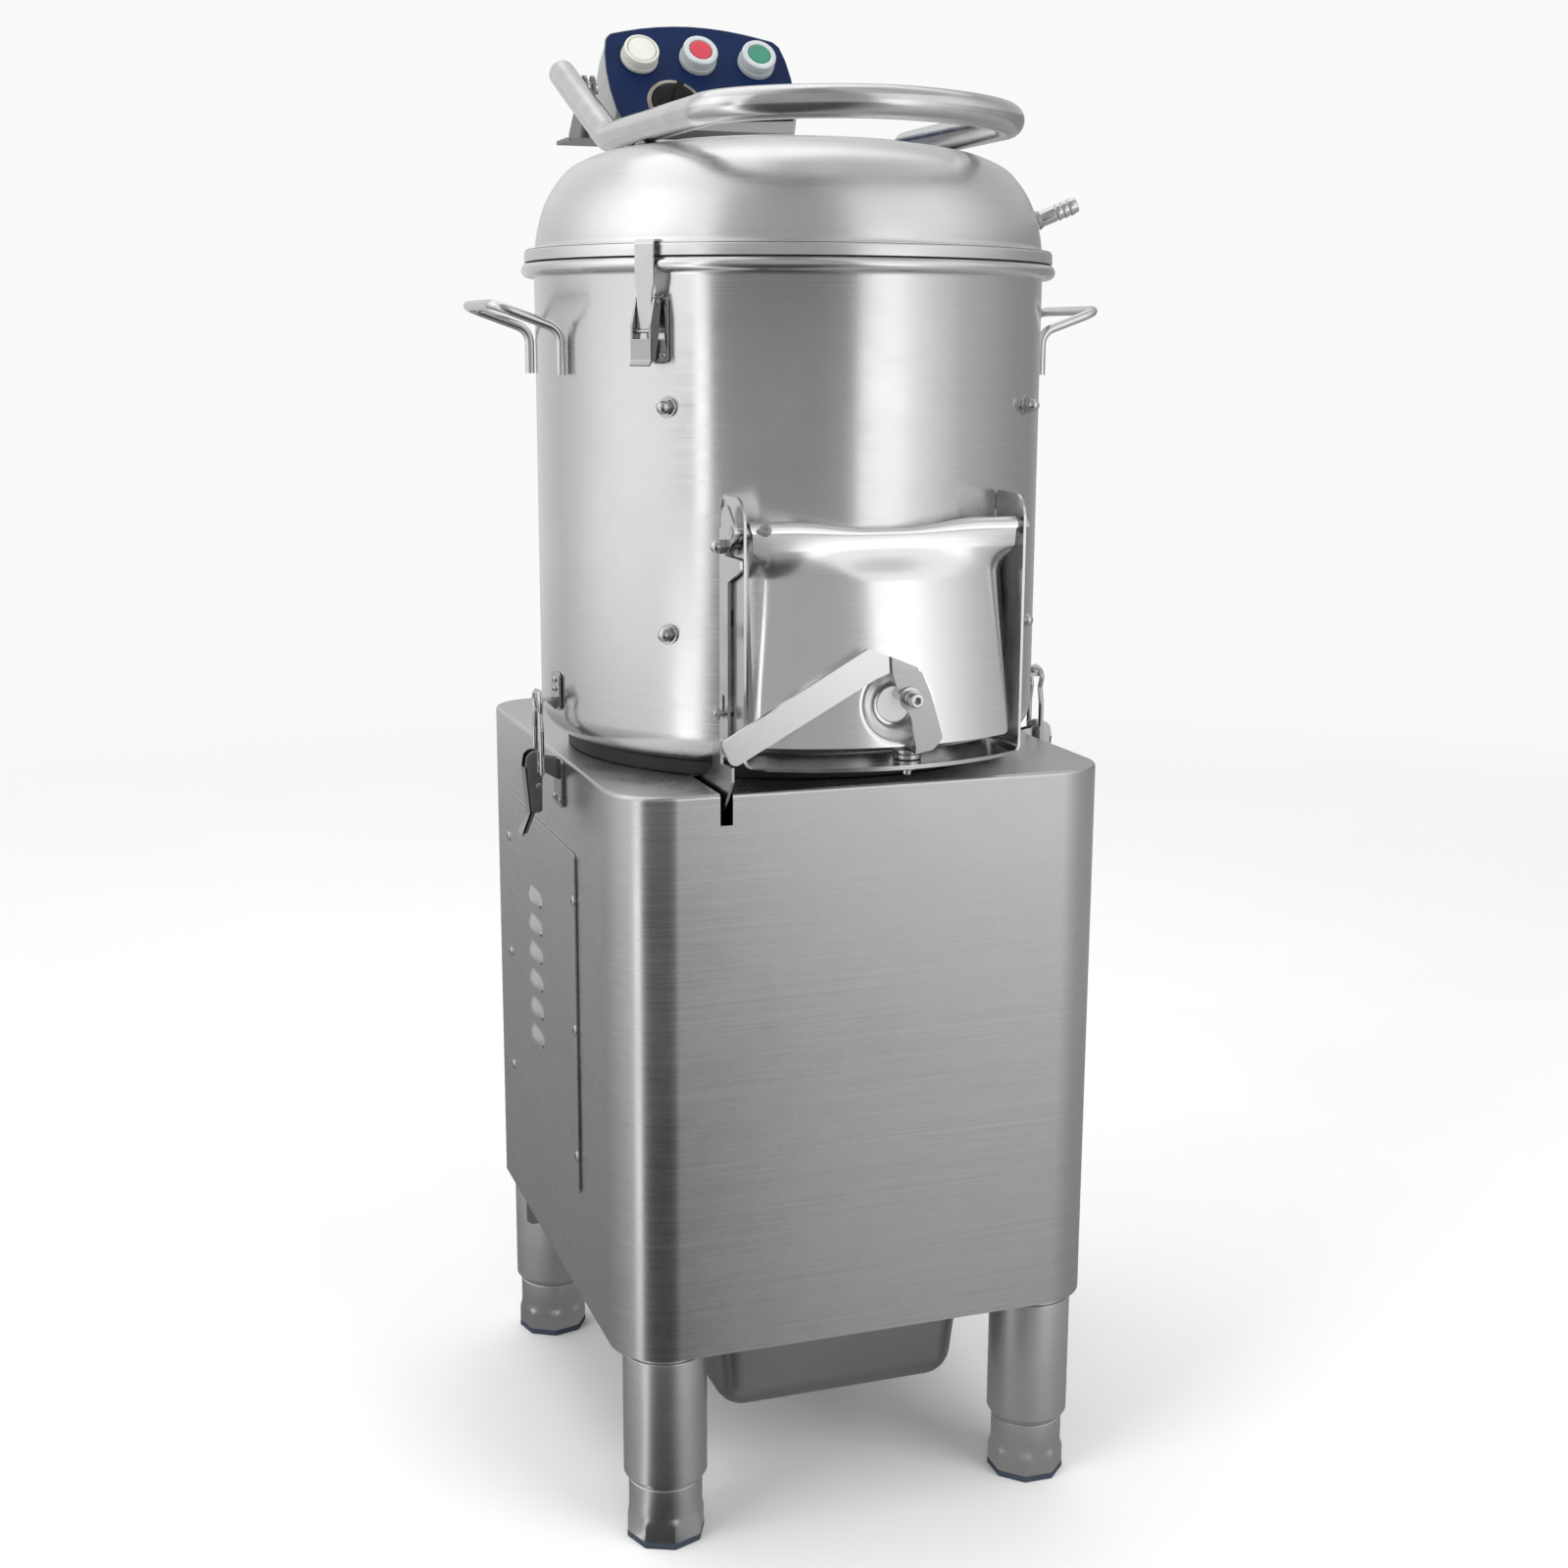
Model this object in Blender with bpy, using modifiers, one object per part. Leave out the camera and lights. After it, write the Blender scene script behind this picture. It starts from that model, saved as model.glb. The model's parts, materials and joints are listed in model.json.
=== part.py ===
"""Potato rumbler: stainless drum with a domed lid on a cabinet with four legs.

All sizes below are millimetres. The drum's axis is x = 0, y = 0 before Y_SHIFT, the floor is z = 9 before
Z_SHIFT and the front is -Y. Each node is one closed solid in its own object.
"""

import math

import bmesh
import bpy
from mathutils import Matrix, Vector

MM = 0.001
Y_SHIFT = -3.75
Z_SHIFT = -9.0

# drum
DRUM_R, DRUM_WALL = 190.0, 2.0
ROUND = 40  # facets round the drum and everything concentric with it
DRUM_Z = 589.0
RIM_Z, BEAD_R, BEAD_C = 932.0, 5.2, 194.3
DRAIN = (-70.0, 108.0)
DOOR_HALF, DOOR_LO, DOOR_HI = 78.0, 618.0, 735.0
# cabinet
CAB_X, CAB_Y0, CAB_Y1, CAB_R = 187.6, -193.6, 244.8, 42.0
CAB_Z0, CAB_Z1, SHEET = 162.4, 577.3, 2.0
LEG_X, LEG_Y0, LEG_Y1, LEG_R = 148.0, -158.0, 208.0, 31.0
FOOT_TURN = {"foot_front_left": -2.5, "foot_front_right": 21.0, "foot_back_left": -8.0, "foot_back_right": 10.0}
# door
HINGE_Y, HINGE_Z = -199.0, 756.0
CHEEK = 101.5
BOLT_Y, BOLT_Z = -182.0, 745.8
PIVOT_X, PIVOT_Z = 2.8, 646.0
# lid
LID_HINGE_Y, LID_HINGE_Z = 200.0, 1082.0
ARM_X, ARM_Z, TUBE_R = 118.0, 1031.5, 11.0
LATCH_AZ = math.radians(222.0)
# control box: its sloping face runs from (FACE_Y, FACE_Z) up and back
FACE_Y, FACE_Z = 191.0, 1052.0
FACE_UP = Vector((0.0, 60.0, 90.0)).normalized()
FACE_OUT = Vector((1.0, 0.0, 0.0)).cross(FACE_UP)
# drive
PULLEY_R, PINION_R = 85.0, 22.0
MOTOR = (75.0, 120.0)

for old in list(bpy.data.objects):
    bpy.data.objects.remove(old, do_unlink=True)

PARTS = bpy.data.collections.new("potato_rumbler")
CUTTERS = bpy.data.collections.new("cutters")
bpy.context.scene.collection.children.link(PARTS)
bpy.context.scene.collection.children.link(CUTTERS)


def link(name, data):
    obj = bpy.data.objects.new(name, data)
    PARTS.objects.link(obj)
    return obj


def tool(obj):
    """Turns a piece into a hidden helper for a Boolean."""
    if obj.name in PARTS.objects:
        PARTS.objects.unlink(obj)
        CUTTERS.objects.link(obj)
    obj.hide_render = True
    obj.display_type = "WIRE"
    return obj


def from_bmesh(name, bm, matrix=None):
    bmesh.ops.recalc_face_normals(bm, faces=bm.faces)
    mesh = bpy.data.meshes.new(name)
    bm.to_mesh(mesh)
    bm.free()
    obj = link(name, mesh)
    if matrix is not None:
        obj.matrix_world = matrix
    return obj


def bevelled(obj, width, segments=2):
    if width:
        mod = obj.modifiers.new("Bevel", "BEVEL")
        mod.width = width * MM
        mod.segments = segments
        mod.limit_method = "ANGLE"
        mod.angle_limit = math.radians(40)
    return obj


def block(name, lo, hi, bevel=0.0, segments=1, frame=None):
    lo, hi = Vector(lo), Vector(hi)
    bm = bmesh.new()
    bmesh.ops.create_cube(bm, size=1.0)
    bmesh.ops.scale(bm, vec=(hi - lo) * MM, verts=bm.verts)
    matrix = Matrix.Translation((lo + hi) / 2 * MM)
    obj = from_bmesh(name, bm, frame @ matrix if frame else matrix)
    return bevelled(obj, bevel, segments)


def rod(name, p0, p1, r, segs=24, r2=None, frame=None):
    p0, p1 = Vector(p0) * MM, Vector(p1) * MM
    way = p1 - p0
    bm = bmesh.new()
    bmesh.ops.create_cone(bm, cap_ends=True, cap_tris=False, segments=segs, radius1=r * MM,
                          radius2=(r if r2 is None else r2) * MM, depth=way.length)
    turn = Vector((0, 0, 1)).rotation_difference(way).to_matrix().to_4x4()
    matrix = Matrix.Translation((p0 + p1) / 2) @ turn
    obj = from_bmesh(name, bm, frame @ matrix if frame else matrix)
    for face in obj.data.polygons:
        face.use_smooth = len(face.vertices) == 4
    return obj


def turned(name, profile, centre=(0, 0, 0), steps=48, matrix=None):
    """Screw of a closed (r, z) outline about Z, or of one that starts and ends on the axis."""
    area = sum(a[0] * b[1] - b[0] * a[1] for a, b in zip(profile, profile[1:] + profile[:1]))
    if area > 0:
        profile = profile[::-1]
    on_axis = [p[0] < 1e-9 for p in profile]
    if any(on_axis):
        while not (profile[0][0] < 1e-9 and profile[-1][0] < 1e-9):
            profile = profile[1:] + profile[:1]
    mesh = bpy.data.meshes.new(name)
    count = len(profile)
    edges = [(i, i + 1) for i in range(count - 1)]
    if not any(on_axis):
        edges.append((count - 1, 0))
    mesh.from_pydata([(r * MM, 0.0, z * MM) for r, z in profile], edges, [])
    obj = link(name, mesh)
    mod = obj.modifiers.new("Screw", "SCREW")
    mod.axis = "Z"
    mod.angle = 2 * math.pi
    mod.steps = mod.render_steps = steps
    mod.use_merge_vertices = True
    mod.merge_threshold = 1e-6
    mod.use_smooth_shade = True
    mod.use_normal_calculate = False
    base = Matrix.Translation(Vector(centre) * MM)
    obj.matrix_world = matrix @ base if matrix else base
    return obj


def smooth_flat(obj, angle=35.0):
    """Bakes the modifiers and keeps edges sharper than the angle crisp."""
    graph = bpy.context.evaluated_depsgraph_get()
    graph.update()
    mesh = bpy.data.meshes.new_from_object(obj.evaluated_get(graph), depsgraph=graph)
    for face in mesh.polygons:
        face.use_smooth = True
    mesh.set_sharp_from_angle(angle=math.radians(angle))
    obj.modifiers.clear()
    obj.data = mesh
    return obj


def fillet(points, radius, n=6, closed=False):
    """Rounds the corners of a 2D or 3D polyline."""
    pts = [Vector(p).to_3d() for p in points]
    flat = len(points[0]) == 2
    radii = radius if isinstance(radius, (list, tuple)) else [radius] * len(pts)
    out = []
    for i, p in enumerate(pts):
        ends = not closed and i in (0, len(pts) - 1)
        if ends or radii[i] <= 0:
            out.append(p)
            continue
        a = (pts[i - 1] - p).normalized()
        b = (pts[(i + 1) % len(pts)] - p).normalized()
        half = a.angle(b) / 2
        if half > math.radians(89.5):
            out.append(p)
            continue
        c = p + (a + b).normalized() * radii[i] / math.sin(half)
        va = p + a * radii[i] / math.tan(half) - c
        vb = p + b * radii[i] / math.tan(half) - c
        for k in range(n + 1):
            out.append(c + va.slerp(vb, k / n).normalized() * va.length if va.angle(vb) > 1e-6 else c + va)
    return [(v.x, v.y) if flat else tuple(v) for v in out]


def circle(cx, cy, r, n=14):
    return [(cx + r * math.cos(2 * math.pi * k / n), cy + r * math.sin(2 * math.pi * k / n)) for k in range(n)]


def hull(points):
    points = sorted(set((round(x, 5), round(y, 5)) for x, y in points))
    def half(seq):
        out = []
        for p in seq:
            while len(out) > 1 and ((out[-1][0] - out[-2][0]) * (p[1] - out[-2][1])
                                    - (out[-1][1] - out[-2][1]) * (p[0] - out[-2][0])) <= 1e-9:
                out.pop()
            out.append(p)
        return out[:-1]
    return half(points) + half(points[::-1])


def box_outline(x0, y0, x1, y1, r=0.0, n=6):
    pts = [(x0, y0), (x1, y0), (x1, y1), (x0, y1)]
    return fillet(pts, r, n, closed=True) if r else pts


PLANES = {
    "XY": Matrix.Identity(3),
    "YZ": Matrix(((0, 0, 1), (1, 0, 0), (0, 1, 0))),
    "XZ": Matrix(((1, 0, 0), (0, 0, -1), (0, 1, 0))),
}
NORMAL = {"XY": Vector((0, 0, 1)), "YZ": Vector((1, 0, 0)), "XZ": Vector((0, 1, 0))}


def as_mesh(curve_obj, name):
    graph = bpy.context.evaluated_depsgraph_get()
    graph.update()
    mesh = bpy.data.meshes.new_from_object(curve_obj.evaluated_get(graph), depsgraph=graph)
    matrix = curve_obj.matrix_world.copy()
    data = curve_obj.data
    bpy.data.objects.remove(curve_obj, do_unlink=True)
    bpy.data.curves.remove(data)
    bm = bmesh.new()
    bm.from_mesh(mesh)
    bpy.data.meshes.remove(mesh)
    bmesh.ops.remove_doubles(bm, verts=bm.verts, dist=2e-6)
    return from_bmesh(name, bm, matrix)


def plate(name, outlines, lo, hi, plane="XY", frame=None, bevel=0.0):
    """A flat outline, with holes as further outlines, as thick as hi - lo along the plane's normal."""
    curve = bpy.data.curves.new(name + "_outline", "CURVE")
    curve.dimensions = "2D"
    curve.fill_mode = "BOTH"
    curve.extrude = (hi - lo) / 2 * MM
    for loop in outlines:
        spline = curve.splines.new("POLY")
        spline.points.add(len(loop) - 1)
        for point, (x, y) in zip(spline.points, loop):
            point.co = (x * MM, y * MM, 0.0, 1.0)
        spline.use_cyclic_u = True
    obj = link(name + "_outline", curve)
    matrix = Matrix.Translation(NORMAL[plane] * (lo + hi) / 2 * MM) @ PLANES[plane].to_4x4()
    obj.matrix_world = frame @ matrix if frame else matrix
    return bevelled(as_mesh(obj, name), bevel)


def tube_path(name, points, r, frame=None, resolution=3):
    curve = bpy.data.curves.new(name + "_path", "CURVE")
    curve.dimensions = "3D"
    curve.bevel_depth = r * MM
    curve.bevel_resolution = resolution
    curve.use_fill_caps = True
    spline = curve.splines.new("POLY")
    spline.points.add(len(points) - 1)
    for point, co in zip(spline.points, points):
        point.co = (co[0] * MM, co[1] * MM, co[2] * MM, 1.0)
    obj = link(name + "_path", curve)
    if frame:
        obj.matrix_world = frame
    obj = as_mesh(obj, name)
    for face in obj.data.polygons:
        face.use_smooth = len(face.vertices) == 4
    return obj


def boolean(obj, others, operation):
    for other in others:
        mod = obj.modifiers.new(operation.title(), "BOOLEAN")
        mod.operation = operation
        mod.solver = "EXACT"
        mod.object = tool(other)
    return obj


def cut(obj, *others):
    return boolean(obj, others, "DIFFERENCE")


def fuse(obj, *others):
    return boolean(obj, others, "UNION")


def about_z(angle):
    return Matrix.Rotation(angle, 4, "Z")


# ------------------------------------------------------------------ cabinet
def rounded_rect(half, y0, y1, r, n=8):
    return fillet([(-half, y0), (half, y0), (half, y1), (-half, y1)], r, n, closed=True)


outline = rounded_rect(CAB_X, CAB_Y0, CAB_Y1, CAB_R)
bm = bmesh.new()
low = [bm.verts.new((x * MM, y * MM, CAB_Z0 * MM)) for x, y in outline]
high = [bm.verts.new((x * MM, y * MM, CAB_Z1 * MM)) for x, y in outline]
for i in range(len(outline)):
    j = (i + 1) % len(outline)
    bm.faces.new((low[i], low[j], high[j], high[i]))
wall = from_bmesh("cabinet_wall", bm)
solid = wall.modifiers.new("Solidify", "SOLIDIFY")
solid.thickness = SHEET * MM
solid.offset = -1.0
solid.use_even_offset = True
cut(wall,
    block("c_slot_front", (-115.7, -200, 555), (-106.6, -185, 590)),
    block("c_side_opening", (-195, -60, 257), (-180, 150, 502)))

in_x, in_y0, in_y1, in_r = CAB_X - 2.3, CAB_Y0 + 2.3, CAB_Y1 - 2.3, CAB_R - 2.3
top = plate("cabinet_top", [rounded_rect(in_x, in_y0, in_y1, in_r), circle(0, 0, 20, 24), circle(*DRAIN, 24, 24)],
            CAB_Z1 - SHEET, CAB_Z1)
cut(top, block("c_top_slot", (-116.5, -200, 570), (-106.0, -118, 580)))

floor = plate("base_frame", [rounded_rect(in_x, in_y0, in_y1, in_r), box_outline(-96, -118, 96, 134, 12)],
              CAB_Z0, CAB_Z0 + SHEET)
for s in (-1, 1):
    fuse(floor, plate("c_rail", [[(s * 106, 152.5), (s * 115.5, 152.5), (s * 115.5, 163.0), (s * 114, 163.0),
                                  (s * 114, 154), (s * 106, 154)]], -150, 150, "XZ"))

side = plate("side_panel", [box_outline(-70, 247, 160, 512, 4)], -189.4, -187.9, "YZ")
for k in range(6):
    z = 336 + 23.0 * k
    fuse(side, plate("c_louvre", [[(-188.6, z), (-193.0, z - 6.5), (-192.0, z - 7.0), (-188.6, z - 3.2)]],
                     38, 82, "XZ"))
    cut(side, block("c_louvre_slot", (-195, 40, z - 9.8), (-180, 80, z - 5.6)))

for y in (-66, 157):
    for z in (276, 376, 476):
        fuse(side, rod("c_screw_head", (-188.9, y, z), (-191.6, y, z), 4.4, 10, 3.0))

for x in (-LEG_X, LEG_X):
    for y in (LEG_Y0, LEG_Y1):
        fuse(floor, turned("c_leg", [(28, 163.3), (LEG_R, 163.3), (LEG_R, 61), (27.4, 56.4), (12.5, 56.4),
                                     (12.5, 82), (16, 82), (16, 64), (28, 64)], (x, y, 0), 18))
for s in (-1, 1):
    gusset = [(-185.2, 163), (-185.2, 140.5), (-181, 137), (-119, 137), (-119, 163)]
    fuse(floor, plate("c_gusset", [[(-s * x, z) for x, z in gusset]], 137, 139, "XZ"))

FEET = {"foot_front_left": (-LEG_X, LEG_Y0), "foot_front_right": (LEG_X, LEG_Y0),
        "foot_back_left": (-LEG_X, LEG_Y1), "foot_back_right": (LEG_X, LEG_Y1)}
for name, (x, y) in FEET.items():
    foot = turned(name, [(0, 106), (12.2, 106), (12.2, 56.0), (27.3, 56.0), (27.3, 20), (0, 20)], (x, y, 0), 18)
    turn = Matrix.Translation((x * MM, y * MM, 0)) @ about_z(math.radians(FOOT_TURN[name]))
    fuse(foot, rod("c_flats", (0, 0, 9), (0, 0, 31), 29.6, 8, frame=turn))

# ------------------------------------------------------------------ drive
motor = turned("motor_body", [(0, 480), (60, 480), (62, 477), (62, 468), (58, 466), (58, 304), (62, 302),
                              (62, 292), (60, 290), (0, 290)], (*MOTOR, 0), 20)
posts = [plate("c_motor_plate", [box_outline(10, 56, 140, 184, 10)], 476, 484)]
for x in (20, 130):
    for y in (66, 174):
        posts.append(rod("c_post", (x, y, 480), (x, y, 575), 6, 10))
posts.append(block("c_terminal", (130, 95, 360), (152, 145, 430)))
fuse(motor, *posts)

pulley = turned("drum_pulley", [(12.8, 222), (12.8, 244), (30, 244), (34, 238.5), (88, 241), (81.2, 238),
                                (81.2, 228), (88, 225), (88, 222)], (0, 0, 0), 28)
pinion = turned("motor_pulley", [(0, 222), (25, 222), (25, 225), (18.2, 228), (18.2, 238), (25, 241), (9, 244),
                                 (9, 289.4), (0, 289.4)], (*MOTOR, 0), 16)
smooth_flat(pulley)
smooth_flat(pinion)


def belt_outline(offset, n=16):
    """Outline round both pulleys, at this distance from the belt's middle line."""
    big, small = PULLEY_R + offset, PINION_R + offset
    gap = math.hypot(*MOTOR)
    way = math.atan2(MOTOR[1], MOTOR[0])
    side_angle = math.acos((big - small) / gap)
    out = []
    for k in range(n + 1):
        a = way + side_angle + (2 * math.pi - 2 * side_angle) * k / n
        out.append((big * math.cos(a), big * math.sin(a)))
    for k in range(n // 2 + 1):
        a = way - side_angle + 2 * side_angle * k / (n // 2)
        out.append((MOTOR[0] + small * math.cos(a), MOTOR[1] + small * math.sin(a)))
    return out


plate("drive_belt", [belt_outline(3.0), belt_outline(-3.0)], 229.0, 237.0)

smooth_flat(turned("bearing_housing", [(24, 575), (60, 575), (60, 569), (32, 569), (32, 440), (24, 440)],
                   (0, 0, 0), 20))
for name, z in (("lower_bearing", 446), ("upper_bearing", 556)):
    smooth_flat(turned(name, [(12.8, z), (23.7, z), (23.7, z + 12), (12.8, z + 12)], (0, 0, 0), 20))
smooth_flat(turned("main_shaft", [(0, 215), (11.5, 215), (12.5, 216), (12.5, 612), (0, 612)], (0, 0, 0), 32))
smooth_flat(turned("shaft_seal", [(12.9, 589), (19.6, 589), (19.6, 594), (17, 597), (12.9, 597)], (0, 0, 0), 24))

# ------------------------------------------------------------------ drum
bead = []
for k in range(7):
    a = math.radians(150 - 260 * k / 6)
    bead.append((BEAD_C + BEAD_R * math.cos(a), RIM_Z + BEAD_R * math.sin(a)))
drum_profile = [(188, 935.5)] + bead + [(190, 925.5), (190, 611)]
drum_profile += [(168 + 22 * math.cos(math.radians(-30 * k)), 611 + 22 * math.sin(math.radians(-30 * k)))
                 for k in range(1, 4)]
drum_profile += [(20, 589), (20, 591)]
drum_profile += [(168 + 20 * math.cos(math.radians(-90 + 30 * k)), 611 + 20 * math.sin(math.radians(-90 + 30 * k)))
                 for k in range(0, 4)]
drum = turned("drum_shell", drum_profile, (0, 0, 0), ROUND)
cut(drum,
    rod("c_drain", (*DRAIN, 580), (*DRAIN, 600), 24, 32),
    plate("c_door", [box_outline(-DOOR_HALF, DOOR_LO, DOOR_HALF, DOOR_HI, 10)], -230, -150, "XZ"))

turned("drum_mount_ring", [(155, 577.6), (170, 577.6), (170, 588.7), (155, 588.7)], (0, 0, 0), 32)

lining = turned("abrasive_lining", [(182, 640), (187.4, 640), (187.4, 900), (182, 900)], (0, 0, 0), ROUND)
cut(lining, block("c_lining", (-80, -230, 600), (80, -120, 741)))

for az in (45, 135, 225, 315):
    for z in (681, 837):
        a = math.radians(az)
        turn = about_z(a) @ Matrix.Translation((0, 0, z * MM)) @ Matrix.Rotation(math.pi / 2, 4, "Y")
        fuse(drum, turned("c_nut", [(0, 189.0), (7.2, 189.0), (6.5, 195.5), (4.4, 199.8), (0, 201.4)], (0, 0, 0), 8,
                          turn))

disc = turned("abrasive_disc", [(0, 636), (10, 634), (20, 626), (26, 610), (178, 610), (180, 608), (180, 600),
                                (22, 600), (22, 598), (12.8, 598), (12.8, 612.4), (0, 612.4)], (0, 0, 0), 28)
for k in range(3):
    turn = about_z(math.radians(90 + 120 * k))
    fuse(disc,
         rod("c_wave", (34, 0, 606.2), (170, 0, 606.2), 13, 12, frame=turn))

wire = fillet([(-187.6, -50, 857), (-187.6, -50, 889), (-236, -50, 906), (-236, 50, 906), (-187.6, 50, 889),
               (-187.6, 50, 857)], 13, 3)
tube_path("carry_handle_left", wire, 3.5, resolution=2)
tube_path("carry_handle_right", [(-x, y, z) for x, y, z in wire], 3.5, resolution=2)

for tag, side_turn in (("left", math.radians(7.5) + math.pi), ("right", -math.radians(7.5))):
    frame = about_z(side_turn)
    hook = block(f"base_latch_hook_{tag}", (190.3, -8, 612.9), (192.2, 8, 641), frame=frame)
    fuse(hook, block("c_ledge", (191.5, -5.6, 620.4), (206.4, 5.6, 623.2), frame=frame),
         block("c_web", (191.5, -1.5, 613.5), (200, 1.5, 621), frame=frame))

# ------------------------------------------------------------------ door frame and its fixings
cheek = fillet([(-161.2, 597.0), (-161.2, 779), (-207, 779), (-207, 597.0)], [0, 3, 18, 0], 6, closed=True)
frame_obj = plate("door_frame", [cheek, circle(HINGE_Y, HINGE_Z, 4.4, 14)], -103.5, -101.5, "YZ")
other_cheek = plate("c_cheek", [cheek, circle(HINGE_Y, HINGE_Z, 4.4, 14)], 101.5, 103.5, "YZ")
front_arc = [(187 * math.sin(a), -50 - 187 * math.cos(a)) for a in
             [math.radians(-33.6 + 67.2 * k / 16) for k in range(17)]]
back_arc = [(186.9 * math.sin(a), -186.9 * math.cos(a)) for a in
            [math.radians(33.65 - 67.3 * k / 16) for k in range(17)]]
bottom = plate("c_bottom", [front_arc + back_arc, circle(14, -213, 3.4, 16)], 596.5, 598.5)
fuse(frame_obj, other_cheek, bottom)

smooth_flat(turned("catch_roller", [(0, 606), (9, 606), (10, 605), (10, 600), (9, 599), (3, 599), (3, 590.5 + 5.7),
                                    (6, 596.2), (6, 590.5), (3, 590.5), (3, 587), (0, 587)], (14, -213, 0), 14))
fuse(frame_obj, turned("c_guide_bolt", [(0, 102.5), (2.5, 102.5), (2.5, 110), (5, 110), (5, 112), (3.6, 113.6),
                                        (0, 114.2)], (0, 0, 0), 14,
                       Matrix.Translation((0, -173 * MM, 630 * MM)) @ Matrix.Rotation(-math.pi / 2, 4, "Y")))

# ------------------------------------------------------------------ door
def smoothstep(t):
    t = max(0.0, min(1.0, t))
    return t * t * (3 - 2 * t)


def panel_y(x, z):
    y = -(math.sqrt(190.0 ** 2 - x * x) + 43.0) + (z - 612.0) * 0.15
    s = smoothstep((z - 735.0) / 20.0)
    return y * (1 - s) - 205.4 * s


rows = [611, 612.5, 615, 619, 650, 700, 735, 739, 743, 747, 751, 755.3]
bm = bmesh.new()
grid = []
for z in rows:
    half = 96 + 3.5 * smoothstep((z - 738) / 14)
    if z < 619:
        half = 96 - (8 - math.sqrt(max(0.0, 64 - (619 - z) ** 2)))
    grid.append([bm.verts.new((half * u / 8 * MM, panel_y(half * u / 8, z) * MM, z * MM)) for u in range(-8, 9)])
for a, b in zip(grid, grid[1:]):
    for i in range(len(a) - 1):
        bm.faces.new((a[i], a[i + 1], b[i + 1], b[i]))
panel = from_bmesh("door_panel", bm)
if panel.data.polygons[0].normal.y > 0:
    panel.data.flip_normals()
skin = panel.modifiers.new("Solidify", "SOLIDIFY")
skin.thickness = 2.0 * MM
skin.offset = -1.0
fuse(panel,
     rod("c_barrel_l", (-99.9, HINGE_Y, HINGE_Z), (-47.4, HINGE_Y, HINGE_Z), 6.8, 24),
     rod("c_barrel_r", (47.4, HINGE_Y, HINGE_Z), (99.9, HINGE_Y, HINGE_Z), 6.8, 24))
cut(panel,
    rod("c_bore", (-110, HINGE_Y, HINGE_Z), (110, HINGE_Y, HINGE_Z), 4.4, 20),
    rod("c_hole", (0, -260, 638.5), (0, -205, 638.5), 12.5, 32))
for mod in panel.modifiers:
    if mod.type == "BOOLEAN":
        mod.solver = "MANIFOLD"

pin = rod("door_hinge_pin", (-110, HINGE_Y, HINGE_Z), (106, HINGE_Y, HINGE_Z), 4.0, 20)
fuse(pin, rod("c_pin_nut", (103.9, HINGE_Y, HINGE_Z), (109, HINGE_Y, HINGE_Z), 6.5, 6))

pad_arc = [math.radians(-27.0 + 54.0 * k / 14) for k in range(15)]
pad_outline = [(198.5 * math.sin(a), -198.5 * math.cos(a)) for a in pad_arc]
pad_outline += [(191.3 * math.sin(a), -191.3 * math.cos(a)) for a in pad_arc[::-1]]
pad = plate("door_pad", [pad_outline], 612, 741)
fuse(pad, rod("c_stub", (0, -221, 638.5), (0, -195, 638.5), 12.0, 32))
cut(pad, rod("c_stub_hole", (PIVOT_X, -230, PIVOT_Z), (PIVOT_X, -212, PIVOT_Z), 3.3, 16))

crank_outline = hull(circle(-198, 756.5, 8.2) + circle(-186.5, 763.5, 10) + circle(BOLT_Y, BOLT_Z, 6.5))
crank = plate("door_crank", [crank_outline, circle(HINGE_Y, HINGE_Z, 4.3, 20)], -109.6, -107.6, "YZ")
fuse(crank, turned("c_link", [(0, 104.5), (3, 104.5), (3, 109.0), (5.6, 109.0), (5.6, 115), (4.0, 118), (0, 119.2)],
                   (0, 0, 0), 14,
                   Matrix.Translation((0, BOLT_Y * MM, BOLT_Z * MM)) @ Matrix.Rotation(-math.pi / 2, 4, "Y")))

facing = Matrix.Translation((PIVOT_X * MM, 0, PIVOT_Z * MM)) @ Matrix.Rotation(math.pi / 2, 4, "X")
smooth_flat(turned("pivot_screw", [(0, 215), (3, 215), (3, 221.3), (4, 221.3), (4, 239.6), (3, 239.6), (3, 243.4),
                            (8, 243.4), (8, 244.5), (5.5, 244.5), (5.5, 252), (3.6, 252), (3.6, 257), (2, 257),
                                   (2, 254.5), (0, 254.5)], (0, 0, 0), 12, facing))

# ------------------------------------------------------------------ locking lever
lever = plate("door_lever", [fillet([(-130.2, 621.5), (-26.7, 680.1), (-8.0, 673.4), (-10.4, 663.6), (-20.1, 659.9),
                                     (-121.9, 604.2)], [4, 3, 0, 0, 3, 4], 4, closed=True)], -240.4, -237.2, "XZ")
bridge = plate("c_bridge", [[(-11.0, 674.5), (8.3, 666.6), (10.9, 661.0), (-10.2, 662.0)]], -242.9, -237.3, "XZ")
pivot_plate = plate("c_pivot_plate", [fillet([(-9.9, 663.4), (11.2, 663.4), (18.4, 647.5), (27.8, 617.0),
                                              (20.5, 609.2), (8.6, 607.4), (4.2, 632), (-5.7, 650.5)],
                                             [0, 0, 6, 3, 3, 0, 0, 0], 4, closed=True),
                                      circle(PIVOT_X, PIVOT_Z, 3.4, 20)], -243.0, -240.0, "XZ")


def sector(r0, r1, a0, a1, n=6):
    """Ring sector about the lever's pivot, with angles counted from straight down towards +X."""
    out = []
    for r, seq in ((r0, range(n + 1)), (r1, range(n, -1, -1))):
        for k in seq:
            a = math.radians(a0 + (a1 - a0) * k / n)
            out.append((PIVOT_X + r * math.sin(a), PIVOT_Z - r * math.cos(a)))
    return out


lip = plate("c_lip", [sector(37.1, 39.4, 7.5, 17.5)], -242.8, -200.2, "XZ")
fuse(lever, bridge, pivot_plate, lip)

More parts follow.
